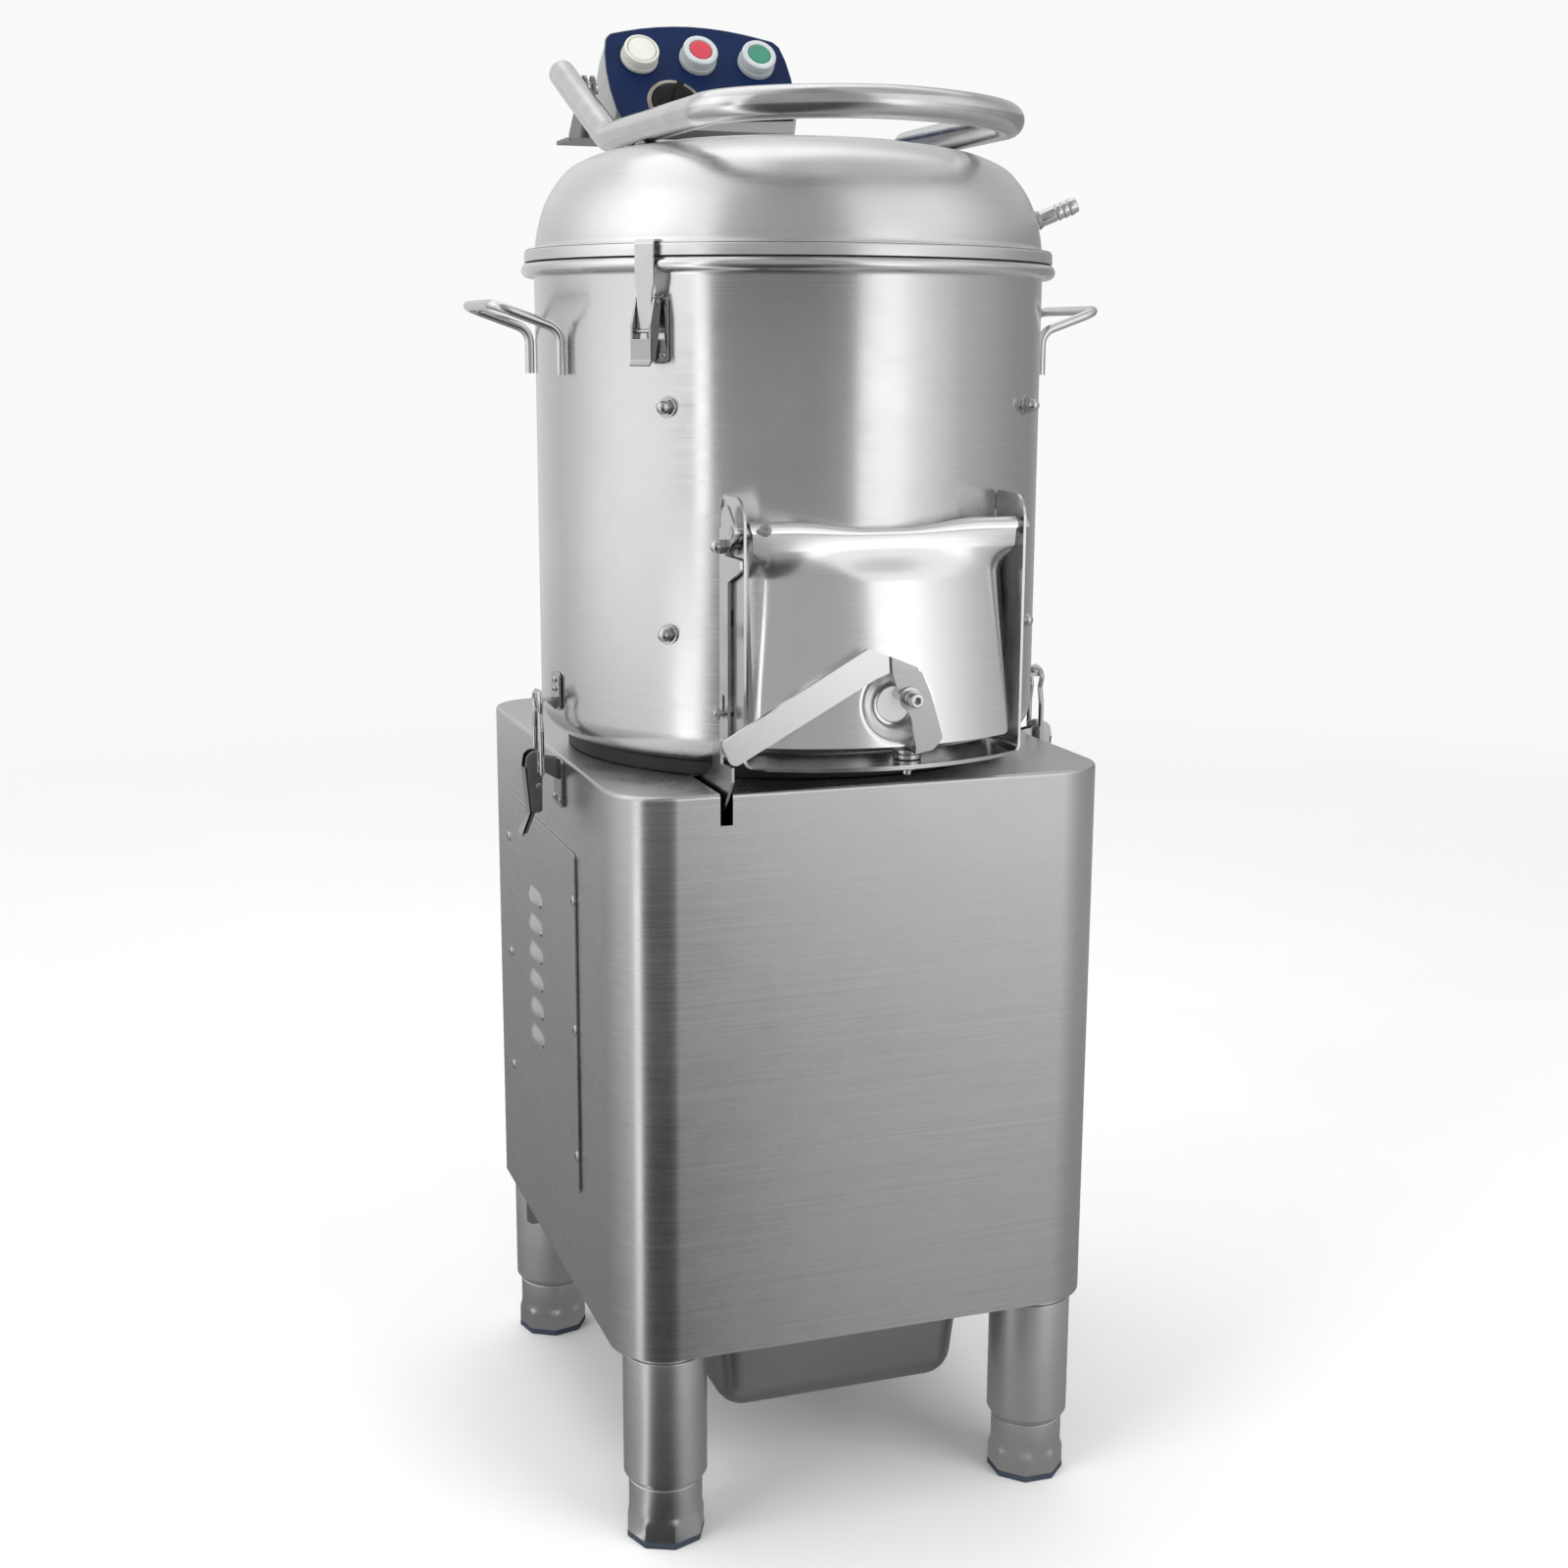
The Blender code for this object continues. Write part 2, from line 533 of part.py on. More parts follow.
# ------------------------------------------------------------------ interlock
link_rod = plate("interlock_rod", [[(-164, 600), (-164, 757), (-193.5, 757), (-193.5, 749.4), (-178.4, 749.4),
                                    (-178.4, 738.8), (-209, 738.8), (-209, 731), (-182.5, 721), (-182.5, 600)],
                                   [(-176, 626.5), (-170, 626.5), (-170, 642.9), (-176, 642.9)]],
                 -106.8, -104.8, "YZ")
jog = block("c_jog", (-111.9, -182.4, 601), (-104.9, -164.1, 611))
blade = plate("c_blade", [[(-126.5, 573), (-164.2, 591.0), (-164.2, 611.6), (-182.3, 611.6), (-182.3, 596.5),
                           (-207, 598), (-207, 588), (-188, 565)]], -112.0, -110.0, "YZ")
fuse(link_rod, jog, blade)

switch = block("interlock_switch", (-124, -191.3, 518), (-98, -164, 546), 1.5)
fuse(switch, rod("c_plunger", (-111, -178, 544), (-111, -178, 552), 2.5, 14))

# ------------------------------------------------------------------ base latches
for tag, s in (("left", -1), ("right", 1)):
    flip = Matrix.Diagonal((-s, 1, 1, 1))

    def side_x(lo, hi):
        """x range on this side, mirrored for the right-hand one."""
        return (lo, hi) if s < 0 else (-hi, -lo)

    x0, x1 = side_x(-210.6, -209.0)
    pts = [(-216.0, 570.0), (-214.4, 570.0), (-211.3, 536.2), (-217.8, 519.6), (-219.4, 520.2), (-212.9, 536.9)]
    pts = pts if s < 0 else [(-x, z) for x, z in pts]
    latch = plate(f"base_latch_lever_{tag}", [pts], -32, -18, "XZ")
    ears = []
    for y0, y1 in ((-31.9, -30.4), (-19.6, -18.1)):
        ear = [(-212.6, 537.5), (-215.8, 570.0), (-214.5, 579.5), (-211.0, 583.2), (-205.0, 583.4), (-202.6, 580.0),
               (-203.4, 537.5)]
        ear = ear if s < 0 else [(-x, z) for x, z in ear]
        ears.append(plate("c_ear", [ear], y0, y1, "XZ"))
    ears.append(rod("c_latch_pin", (s * 204, -31.0, 574), (s * 204, -19.0, 574), 1.5, 12))
    fuse(latch, *ears)

    bail = fillet([(s * 204, -17.4, 566), (s * 204, -14.0, 566), (s * 204, -14.0, 626), (s * 204, -36.0, 626),
                   (s * 204, -36.0, 566), (s * 204, -32.6, 566)], [0, 2.6, 5, 5, 2.6, 0], 4)
    tube_path(f"base_latch_bail_{tag}", bail, 2.0, resolution=2)

for tag, s in (("left", -1), ("right", 1)):
    x0, x1 = (-190.0, -187.9) if s < 0 else (187.9, 190.0)
    foot_plate = block(f"base_latch_base_{tag}", (x0, -37, 540), (x1, -13, 576.5), 0.6, 1)
    pieces = []
    for y0, y1 in ((-29.9, -28.3), (-21.7, -20.1)):
        ear = [(-189.0, 562.0), (-189.0, 580.0), (-202.0, 579.0), (-207.0, 577.0), (-207.8, 572.0), (-204.0, 568.5)]
        ear = ear if s < 0 else [(-x, z) for x, z in ear]
        pieces.append(plate("c_base_ear", [ear, circle(s * 204, 574, 1.95, 14)], y0, y1, "XZ"))
    fuse(foot_plate, *pieces)

# ------------------------------------------------------------------ lid latch
LATCH = about_z(LATCH_AZ)
latch_base = block("lid_latch_base", (190.4, -12, 866), (192.4, 12, 910), 0.6, 1, LATCH)
for t0, t1 in ((-5.0, -3.4), (3.4, 5.0)):
    fuse(latch_base, plate("c_lid_ear", [[(191.4, 888), (191.4, 909.5), (196, 911.5), (200.2, 909.5), (200.2, 903.5),
                                          (196, 895)], circle(198, 907, 1.95, 14)], t0, t1, "XZ", LATCH))
latch_lever = plate("lid_latch_lever", [[(206.0, 882.5), (207.5, 882.5), (207.5, 868), (209.6, 865.2), (208.4, 864.4),
                                         (206.0, 867.4)]], -8, 8, "XZ", LATCH)
pieces = []
for t0, t1 in ((-7.9, -6.4), (6.4, 7.9)):
    pieces.append(plate("c_lever_ear", [[(207.4, 879), (207.4, 905), (204.5, 910.5), (195.2, 910.5), (194.6, 904),
                                         (199, 884)]], t0, t1, "XZ", LATCH))
pieces.append(rod("c_lever_pin", (198, -7, 907), (198, 7, 907), 1.5, 12, frame=LATCH))
pieces.append(rod("c_strap_pin", (202, -7, 887.6), (202, 7, 887.6), 1.2, 12, frame=LATCH))
fuse(latch_lever, *pieces)
strap = plate("lid_latch_strap", [fillet([(-5.8, 889.1), (5.8, 889.1), (5.8, 913), (7.5, 917), (7.5, 947.9),
                                          (-7.5, 947.9), (-7.5, 917), (-5.8, 913)], 0, closed=True)],
              201.2, 202.8, "YZ", LATCH)
fuse(strap, block("c_strap_tab", (190.6, -7.4, 946.4), (202.0, 7.4, 947.8), frame=LATCH))

# ------------------------------------------------------------------ lid
outer = [(0, 1021.5), (92, 1021.5), (117, 1019.7), (129, 1017.8), (141, 1015.0), (155, 1009.4), (165.5, 1002.6),
         (176, 989.6), (182.5, 977), (186.5, 964), (189.2, 946.0), (196.3, 946.0), (197.3, 945.0), (197.3, 939.0)]
inner = [(195.7, 939.0), (195.5, 944.2), (187.4, 944.2), (184.6, 963.5), (180.7, 976.2), (174.4, 988.4),
         (164.3, 1001), (154, 1007.7), (140.2, 1013.2), (116.8, 1017.9), (92, 1019.7), (0, 1019.7)]
lid = turned("lid_shell", outer + inner, (0, 0, 0), ROUND)

handle = [(ARM_X - 2, 52, ARM_Z), (ARM_X - 6, -140, ARM_Z)]
for k in range(1, 14):
    a = math.pi * k / 14
    handle.append(((ARM_X - 6) * math.copysign(abs(math.cos(a)) ** 1.15, math.cos(a)),
                   -140 - 60 * math.sin(a) ** 1.15, ARM_Z + 4 * math.sin(a)))
handle += [(6 - ARM_X, -140, ARM_Z), (-ARM_X, 40, ARM_Z)]
rise = fillet([(-ARM_X, 40, ARM_Z), (-ARM_X, 73, ARM_Z), (-ARM_X, 200, 1085.3), (-ARM_X, 221, 1094.5)], 36, 4)
handle = handle[:-1] + rise
grip = tube_path("lid_handle", handle, TUBE_R, resolution=3)
fuse(grip, rod("c_hinge_stub", (-ARM_X, LID_HINGE_Y, LID_HINGE_Z), (-94, LID_HINGE_Y, LID_HINGE_Z), 5.0, 20))

barb_way = Vector((35, -11, 15)).normalized()
barb_from = Vector((183.5, -36, 970.5))
barb_turn = Matrix.Translation(barb_from * MM) @ Vector((0, 0, 1)).rotation_difference(barb_way).to_matrix().to_4x4()
barb = [(0, 4), (6.0, 4), (6.0, 20), (6.6, 20), (5.6, 25), (6.6, 25), (5.6, 30), (6.6, 30), (5.4, 37), (3.4, 37.4),
        (3.4, 6), (0, 6)]
smooth_flat(turned("hose_barb", barb, (0, 0, 0), 14, barb_turn))

turned("lid_seal", [(190.8, 937.5), (195.2, 937.5), (195.2, 943.9), (190.8, 943.9)], (0, 0, 0), ROUND)

bracket = plate("lid_hinge_bracket", [box_outline(-117, 211, -55.4, 252, 3)], 1041, 1044)
for x0, x1 in ((-106.2, -104), (-99.6, -97.4)):
    cheek_outline = hull(circle(LID_HINGE_Y, LID_HINGE_Z, 9.5, 16) + [(213, 1042), (250, 1042), (250, 1050)])
    fuse(bracket, plate("c_bracket_cheek", [cheek_outline, circle(LID_HINGE_Y, LID_HINGE_Z, 5.4, 14)], x0, x1, "YZ"))

# ------------------------------------------------------------------ column and control box
column = block("rear_column", (-55, 206, 577.6), (55, 242, 1044.7))
bm = bmesh.new()
bm.from_mesh(column.data)
upright = [e for e in bm.edges if abs(e.verts[0].co.z - e.verts[1].co.z) > 1e-4]
bmesh.ops.bevel(bm, geom=upright, offset=4 * MM, segments=3, affect="EDGES", profile=0.5)
bm.to_mesh(column.data)
bm.free()
cut(column, block("c_column", (-53, 208, 570), (53, 240, 1042.7)))

FACE = Matrix.Identity(4)
FACE.col[0] = (1, 0, 0, 0)
FACE.col[1] = (*FACE_UP, 0)
FACE.col[2] = (*FACE_OUT, 0)
FACE.col[3] = (0, FACE_Y * MM, FACE_Z * MM, 1)


def facia_outline(inset=0.0):
    right = [(73.0, 0), (78.2, 18), (80.6, 38), (81.0, 57), (79.4, 76), (76.2, 90)]
    topside = [(71.5, 95.6), (58, 99.2), (45, 102.4), (30, 105.0), (15, 106.6), (0, 107.2)]
    pts = [(x - inset, y) for x, y in right] + [(x - inset, y - inset) for x, y in topside[:1]]
    pts += [(x, y - inset) for x, y in topside[1:]]
    pts = [(pts[0][0], pts[0][1] + inset)] + pts[1:]
    return pts + [(-x, y) for x, y in pts[-2::-1]]


BUTTONS = {"red_button": (0.0, 71.5), "green_button": (51.0, 70.0)}
LAMP, KNOB = (-51.0, 69.5), (-27.0, 24.5)
plate("control_facia", [facia_outline(), circle(*BUTTONS["red_button"], 15.9, 32),
                        circle(*BUTTONS["green_button"], 15.9, 32), circle(*KNOB, 4.2, 20)], -3.0, 0.0, "XY", FACE)
housing = plate("control_box", [facia_outline(1.0)], -82, -3.3, "XY", FACE)
cut(housing, block("c_box_back", (-120, 264.5, 950), (120, 400, 1200)),
    block("c_box_low", (-120, 150, 900), (120, 400, 1045.2)))
hollow = plate("c_hollow", [facia_outline(3.0)], -86, -2.0, "XY", FACE)
cut(hollow, block("c_hollow_back", (-130, 262.5, 940), (130, 410, 1210)),
    block("c_hollow_low", (-130, 140, 890), (130, 410, 1047.2)))
cut(housing, hollow)


def boot(name, at, low_end):
    x, y = at
    where = FACE @ Matrix.Translation((x * MM, y * MM, 0))
    shape = [(0, 12.5), (12.6, 12.5), (14.5, 11.0), (14.9, 4.5), (15.5, 3.2), (15.5, low_end)]
    shape += [(5, low_end), (5, -12), (0, -12)] if low_end < 0 else [(0, low_end)]
    return smooth_flat(turned(name, shape, (0, 0, 0), 18, where), 30)


for name, at in BUTTONS.items():
    boot(name, at, -2.5)
boot("indicator_lamp", LAMP, 0.3)
knob_at = FACE @ Matrix.Translation((KNOB[0] * MM, KNOB[1] * MM, 0))
knob = turned("timer_knob", [(0, 6.0), (13.0, 6.0), (17.6, 5.2), (19.8, 2.2), (19.8, 1.0), (3.8, 1.0), (3.8, -9),
                             (0, -9)], (0, 0, 0), 20, knob_at)
fuse(knob, block("c_grip", (-3.4, -16.8, 3.0), (3.4, 16.8, 15.0), 1.6, 1, knob_at))
turned("timer_ring", [(20.4, 0.3), (24.0, 0.3), (24.0, 1.4), (20.4, 2.2)], (0, 0, 0), 24, knob_at)

# ------------------------------------------------------------------ waste
turned("waste_pipe", [(20, 166), (22, 166), (22, 577.5), (25, 583), (25, 588.6), (23.2, 588.6), (23.2, 584),
                      (20, 578.2)], (*DRAIN, 0), 18)


def trough(name, half_top, half_low, y_half, z_low, z_high, r):
    bm = bmesh.new()
    bmesh.ops.create_cube(bm, size=2.0)
    for vert in bm.verts:
        high = vert.co.z > 0
        vert.co = Vector(((half_top if high else half_low) * vert.co.x, (y_half - (0 if high else 3)) * vert.co.y,
                          z_high if high else z_low)) * MM
    return bevelled(from_bmesh(name, bm), r, 2)


tray = trough("waste_tray", 107.6, 95.0, 139, 81.0, 190.0, 20.0)
cut(tray, trough("c_tray_inside", 105.4, 92.8, 137, 83.0, 192.0, 18.0),
    block("c_tray_top", (-150, -180, 156.0), (150, 180, 230)))
rim = plate("c_tray_rim", [box_outline(-112, -146, 112, 146, 14), box_outline(-101.5, -135.0, 101.5, 135.0, 12)],
            154.9, 156.5)
fuse(tray, rim, rod("c_spigot", (0, 130, 100), (0, 165, 100), 13, 24))
cut(tray, rod("c_spigot_bore", (0, 120, 100), (0, 175, 100), 11, 24))

# ------------------------------------------------------------------ supply inlet
gland_at = Matrix.Translation((110 * MM, 245.1 * MM, 250 * MM)) @ Matrix.Rotation(-math.pi / 2, 4, "X")
gland = turned("cable_gland", [(0, 1), (5.5, 1), (5.5, 19.4), (8, 19.4), (10.4, 16), (10.6, 9), (13.5, 9), (13.5, 0),
                               (0, 0)], (0, 0, 0), 12, gland_at)

# ------------------------------------------------------------------ materials, one per node
STEEL = (0.62, 0.63, 0.64)
BRIGHT = (0.74, 0.75, 0.76)
LOOKS = {
    "cabinet_wall": (STEEL, 0.35, 1), "cabinet_top": (STEEL, 0.35, 1), "base_frame": (STEEL, 0.38, 1),
    "side_panel": (STEEL, 0.35, 1),
    "motor_body": ((0.16, 0.2, 0.26), 0.5, 0), "drive_belt": ((0.03, 0.03, 0.03), 0.8, 0),
    "bearing_housing": ((0.35, 0.36, 0.38), 0.5, 1), "lower_bearing": (BRIGHT, 0.3, 1),
    "upper_bearing": (BRIGHT, 0.3, 1),
    "shaft_seal": ((0.04, 0.04, 0.04), 0.7, 0), "drum_shell": (STEEL, 0.28, 1),
    "drum_mount_ring": ((0.05, 0.05, 0.055), 0.6, 0), "abrasive_lining": ((0.16, 0.15, 0.14), 0.95, 0),
    "carry_handle_left": (BRIGHT, 0.22, 1), "carry_handle_right": (BRIGHT, 0.22, 1),
    "door_frame": (BRIGHT, 0.2, 1), "catch_roller": (BRIGHT, 0.22, 1),
    "base_latch_hook_left": (BRIGHT, 0.2, 1), "base_latch_hook_right": (BRIGHT, 0.2, 1), "rear_column": (STEEL, 0.35, 1),
    "control_box": (STEEL, 0.35, 1), "control_facia": ((0.02, 0.035, 0.16), 0.4, 0),
    "indicator_lamp": ((0.9, 0.9, 0.88), 0.3, 0), "timer_ring": (BRIGHT, 0.25, 1),
    "lid_hinge_bracket": (STEEL, 0.3, 1), "lid_latch_base": (BRIGHT, 0.2, 1), "base_latch_base_left": (BRIGHT, 0.2, 1),
    "base_latch_base_right": (BRIGHT, 0.2, 1), "waste_pipe": ((0.4, 0.41, 0.42), 0.5, 0), "cable_gland": ((0.05, 0.05, 0.05), 0.5, 0),
    "interlock_switch": ((0.08, 0.08, 0.09), 0.5, 0), "lid_shell": (STEEL, 0.28, 1), "lid_handle": (BRIGHT, 0.2, 1),
    "hose_barb": (BRIGHT, 0.2, 1), "lid_seal": ((0.06, 0.06, 0.06), 0.7, 0), "door_panel": (STEEL, 0.26, 1),
    "door_hinge_pin": (BRIGHT, 0.2, 1), "door_pad": ((0.85, 0.85, 0.82), 0.5, 0), "door_crank": (BRIGHT, 0.25, 1),
    "pivot_screw": (BRIGHT, 0.22, 1), "door_lever": (BRIGHT, 0.22, 1), "interlock_rod": (BRIGHT, 0.25, 1),
    "lid_latch_lever": (BRIGHT, 0.18, 1), "lid_latch_strap": (BRIGHT, 0.18, 1),
    "base_latch_lever_left": (BRIGHT, 0.18, 1), "base_latch_lever_right": (BRIGHT, 0.18, 1),
    "base_latch_bail_left": (BRIGHT, 0.18, 1), "base_latch_bail_right": (BRIGHT, 0.18, 1),
    "red_button": ((0.55, 0.02, 0.03), 0.45, 0), "green_button": ((0.02, 0.35, 0.2), 0.45, 0),
    "timer_knob": ((0.04, 0.04, 0.045), 0.4, 0), "abrasive_disc": ((0.16, 0.15, 0.14), 0.95, 0),
    "main_shaft": (BRIGHT, 0.25, 1), "drum_pulley": ((0.3, 0.31, 0.32), 0.5, 1),
    "motor_pulley": ((0.3, 0.31, 0.32), 0.5, 1), "waste_tray": (STEEL, 0.35, 1),
    "foot_front_left": (STEEL, 0.35, 1), "foot_front_right": (STEEL, 0.35, 1),
    "foot_back_left": (STEEL, 0.35, 1), "foot_back_right": (STEEL, 0.35, 1),
}
for name, (colour, rough, metal) in LOOKS.items():
    surface = bpy.data.materials.new(name)
    surface.use_nodes = True
    shader = surface.node_tree.nodes["Principled BSDF"]
    shader.inputs["Base Color"].default_value = (*colour, 1.0)
    shader.inputs["Roughness"].default_value = rough
    shader.inputs["Metallic"].default_value = float(metal)
    surface.diffuse_color = (*colour, 1.0)
    obj = PARTS.objects[name]
    obj.data.materials.clear()
    obj.data.materials.append(surface)

# ------------------------------------------------------------------ joints: an empty on each axis carries its pieces
bpy.context.view_layer.update()
latch_pivot = LATCH @ Vector((198 * MM, 0, 907 * MM))
strap_pivot = LATCH @ Vector((202 * MM, 0, 887.6 * MM))
JOINTS = {
    "lid_hinge": ((0, LID_HINGE_Y, LID_HINGE_Z), None, ["lid_shell", "lid_handle", "hose_barb", "lid_seal"]),
    "door_hinge": ((0, HINGE_Y, HINGE_Z), None,
                   ["door_panel", "door_hinge_pin", "door_pad", "door_crank", "pivot_screw"]),
    "lever_pivot": ((PIVOT_X, -241.5, PIVOT_Z), "door_hinge", ["door_lever"]),
    "rod_slide": ((-105.8, -173, 630), None, ["interlock_rod"]),
    "lid_latch_pivot": (tuple(latch_pivot / MM), None, ["lid_latch_lever"]),
    "strap_pivot": (tuple(strap_pivot / MM), "lid_latch_pivot", ["lid_latch_strap"]),
    "latch_left": ((-204, -25, 574), None, ["base_latch_lever_left"]),
    "bail_left": ((-204, -25, 566), "latch_left", ["base_latch_bail_left"]),
    "latch_right": ((204, -25, 574), None, ["base_latch_lever_right"]),
    "bail_right": ((204, -25, 566), "latch_right", ["base_latch_bail_right"]),
    "red_press": (tuple(FACE @ Vector((0, 67 * MM, 0)) / MM), None, ["red_button"]),
    "green_press": (tuple(FACE @ Vector((51 * MM, 67 * MM, 0)) / MM), None, ["green_button"]),
    "knob_turn": (tuple(FACE @ Vector((KNOB[0] * MM, KNOB[1] * MM, 0)) / MM), None, ["timer_knob"]),
    "turntable_spin": ((0, 0, 606), None, ["abrasive_disc", "main_shaft", "drum_pulley"]),
    "motor_spin": ((*MOTOR, 235), None, ["motor_pulley"]),
    "tray_slide": ((0, 0, 155.7), None, ["waste_tray"]),
}
for name, (x, y) in FEET.items():
    JOINTS[name + "_screw"] = ((x, y, 51), None, [name])

whole = bpy.data.objects.new("potato_rumbler_root", None)
PARTS.objects.link(whole)
carriers = {}
for name, (at, parent, pieces) in JOINTS.items():
    empty = bpy.data.objects.new(name, None)
    PARTS.objects.link(empty)
    empty.location = Vector(at) * MM
    carriers[name] = (empty, parent, pieces)
bpy.context.view_layer.update()


def hang(child, parent):
    child.parent = parent
    child.matrix_parent_inverse = parent.matrix_world.inverted()


for name, (empty, parent, pieces) in carriers.items():
    for piece in pieces:
        hang(PARTS.objects[piece], empty)
for name, (empty, parent, pieces) in carriers.items():
    hang(empty, carriers[parent][0] if parent else whole)
bpy.context.view_layer.update()
for obj in list(PARTS.objects) + list(CUTTERS.objects):
    if obj.parent is None and obj is not whole:
        hang(obj, whole)
whole.location = (0.0, Y_SHIFT * MM, Z_SHIFT * MM)
bpy.context.view_layer.update()
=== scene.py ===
"""Looks of the potato rumbler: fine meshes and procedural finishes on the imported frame.

Lengths in the building helpers are millimetres about the drum's axis; each piece is baked into the row frame.
"""

import json
import math
import random

import bmesh
import bpy
from mathutils import Matrix, Vector, noise

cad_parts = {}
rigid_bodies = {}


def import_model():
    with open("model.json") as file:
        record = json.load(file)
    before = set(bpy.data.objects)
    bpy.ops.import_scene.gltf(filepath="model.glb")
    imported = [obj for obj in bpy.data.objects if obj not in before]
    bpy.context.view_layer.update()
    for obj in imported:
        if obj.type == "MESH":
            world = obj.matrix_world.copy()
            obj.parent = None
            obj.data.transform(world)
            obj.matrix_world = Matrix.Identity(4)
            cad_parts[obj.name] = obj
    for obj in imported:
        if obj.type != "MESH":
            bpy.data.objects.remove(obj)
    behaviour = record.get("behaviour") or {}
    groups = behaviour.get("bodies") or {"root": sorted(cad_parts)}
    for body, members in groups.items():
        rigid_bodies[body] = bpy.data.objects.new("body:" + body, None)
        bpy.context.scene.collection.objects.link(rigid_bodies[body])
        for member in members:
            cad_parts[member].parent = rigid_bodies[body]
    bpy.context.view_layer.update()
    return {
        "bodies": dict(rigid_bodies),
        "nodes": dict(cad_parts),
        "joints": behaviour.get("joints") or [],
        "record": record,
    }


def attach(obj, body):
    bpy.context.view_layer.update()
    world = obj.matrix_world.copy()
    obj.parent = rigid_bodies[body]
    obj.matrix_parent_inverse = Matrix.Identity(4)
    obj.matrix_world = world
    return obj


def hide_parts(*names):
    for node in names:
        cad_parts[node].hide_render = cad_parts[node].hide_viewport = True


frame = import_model()
NODES = frame["nodes"]
MM = 0.001
ROW = Matrix.Translation((0.0, -3.75 * MM, -9.0 * MM))
random.seed(7)

# ------------------------------------------------------------------ sizes, as in the CAD
DRUM_R, DRUM_WALL, RIM_Z, BEAD_R, BEAD_C = 190.0, 2.0, 932.0, 5.2, 194.3
DRAIN = (-70.0, 108.0)
DOOR_HALF, DOOR_LO, DOOR_HI = 78.0, 618.0, 735.0
CAB_X, CAB_Y0, CAB_Y1, CAB_R = 187.6, -193.6, 244.8, 42.0
CAB_Z0, CAB_Z1, SHEET = 162.4, 577.3, 2.0
LEG_X, LEG_Y0, LEG_Y1, LEG_R = 148.0, -158.0, 208.0, 31.0
HINGE_Y, HINGE_Z = -199.0, 756.0
BOLT_Y, BOLT_Z = -182.0, 745.8
PIVOT_X, PIVOT_Z = 2.8, 646.0
LID_HINGE_Y, LID_HINGE_Z = 200.0, 1082.0
ARM_X, ARM_Z, TUBE_R = 118.0, 1031.5, 11.0
LATCH_AZ = math.radians(222.0)
FACE_Y, FACE_Z = 191.0, 1052.0
FACE_UP = Vector((0.0, 60.0, 90.0)).normalized()
FACE_OUT = Vector((1.0, 0.0, 0.0)).cross(FACE_UP)
FACE = Matrix.Identity(4)
FACE.col[0] = (1, 0, 0, 0)
FACE.col[1] = (*FACE_UP, 0)
FACE.col[2] = (*FACE_OUT, 0)
FACE.col[3] = (0, FACE_Y * MM, FACE_Z * MM, 1)


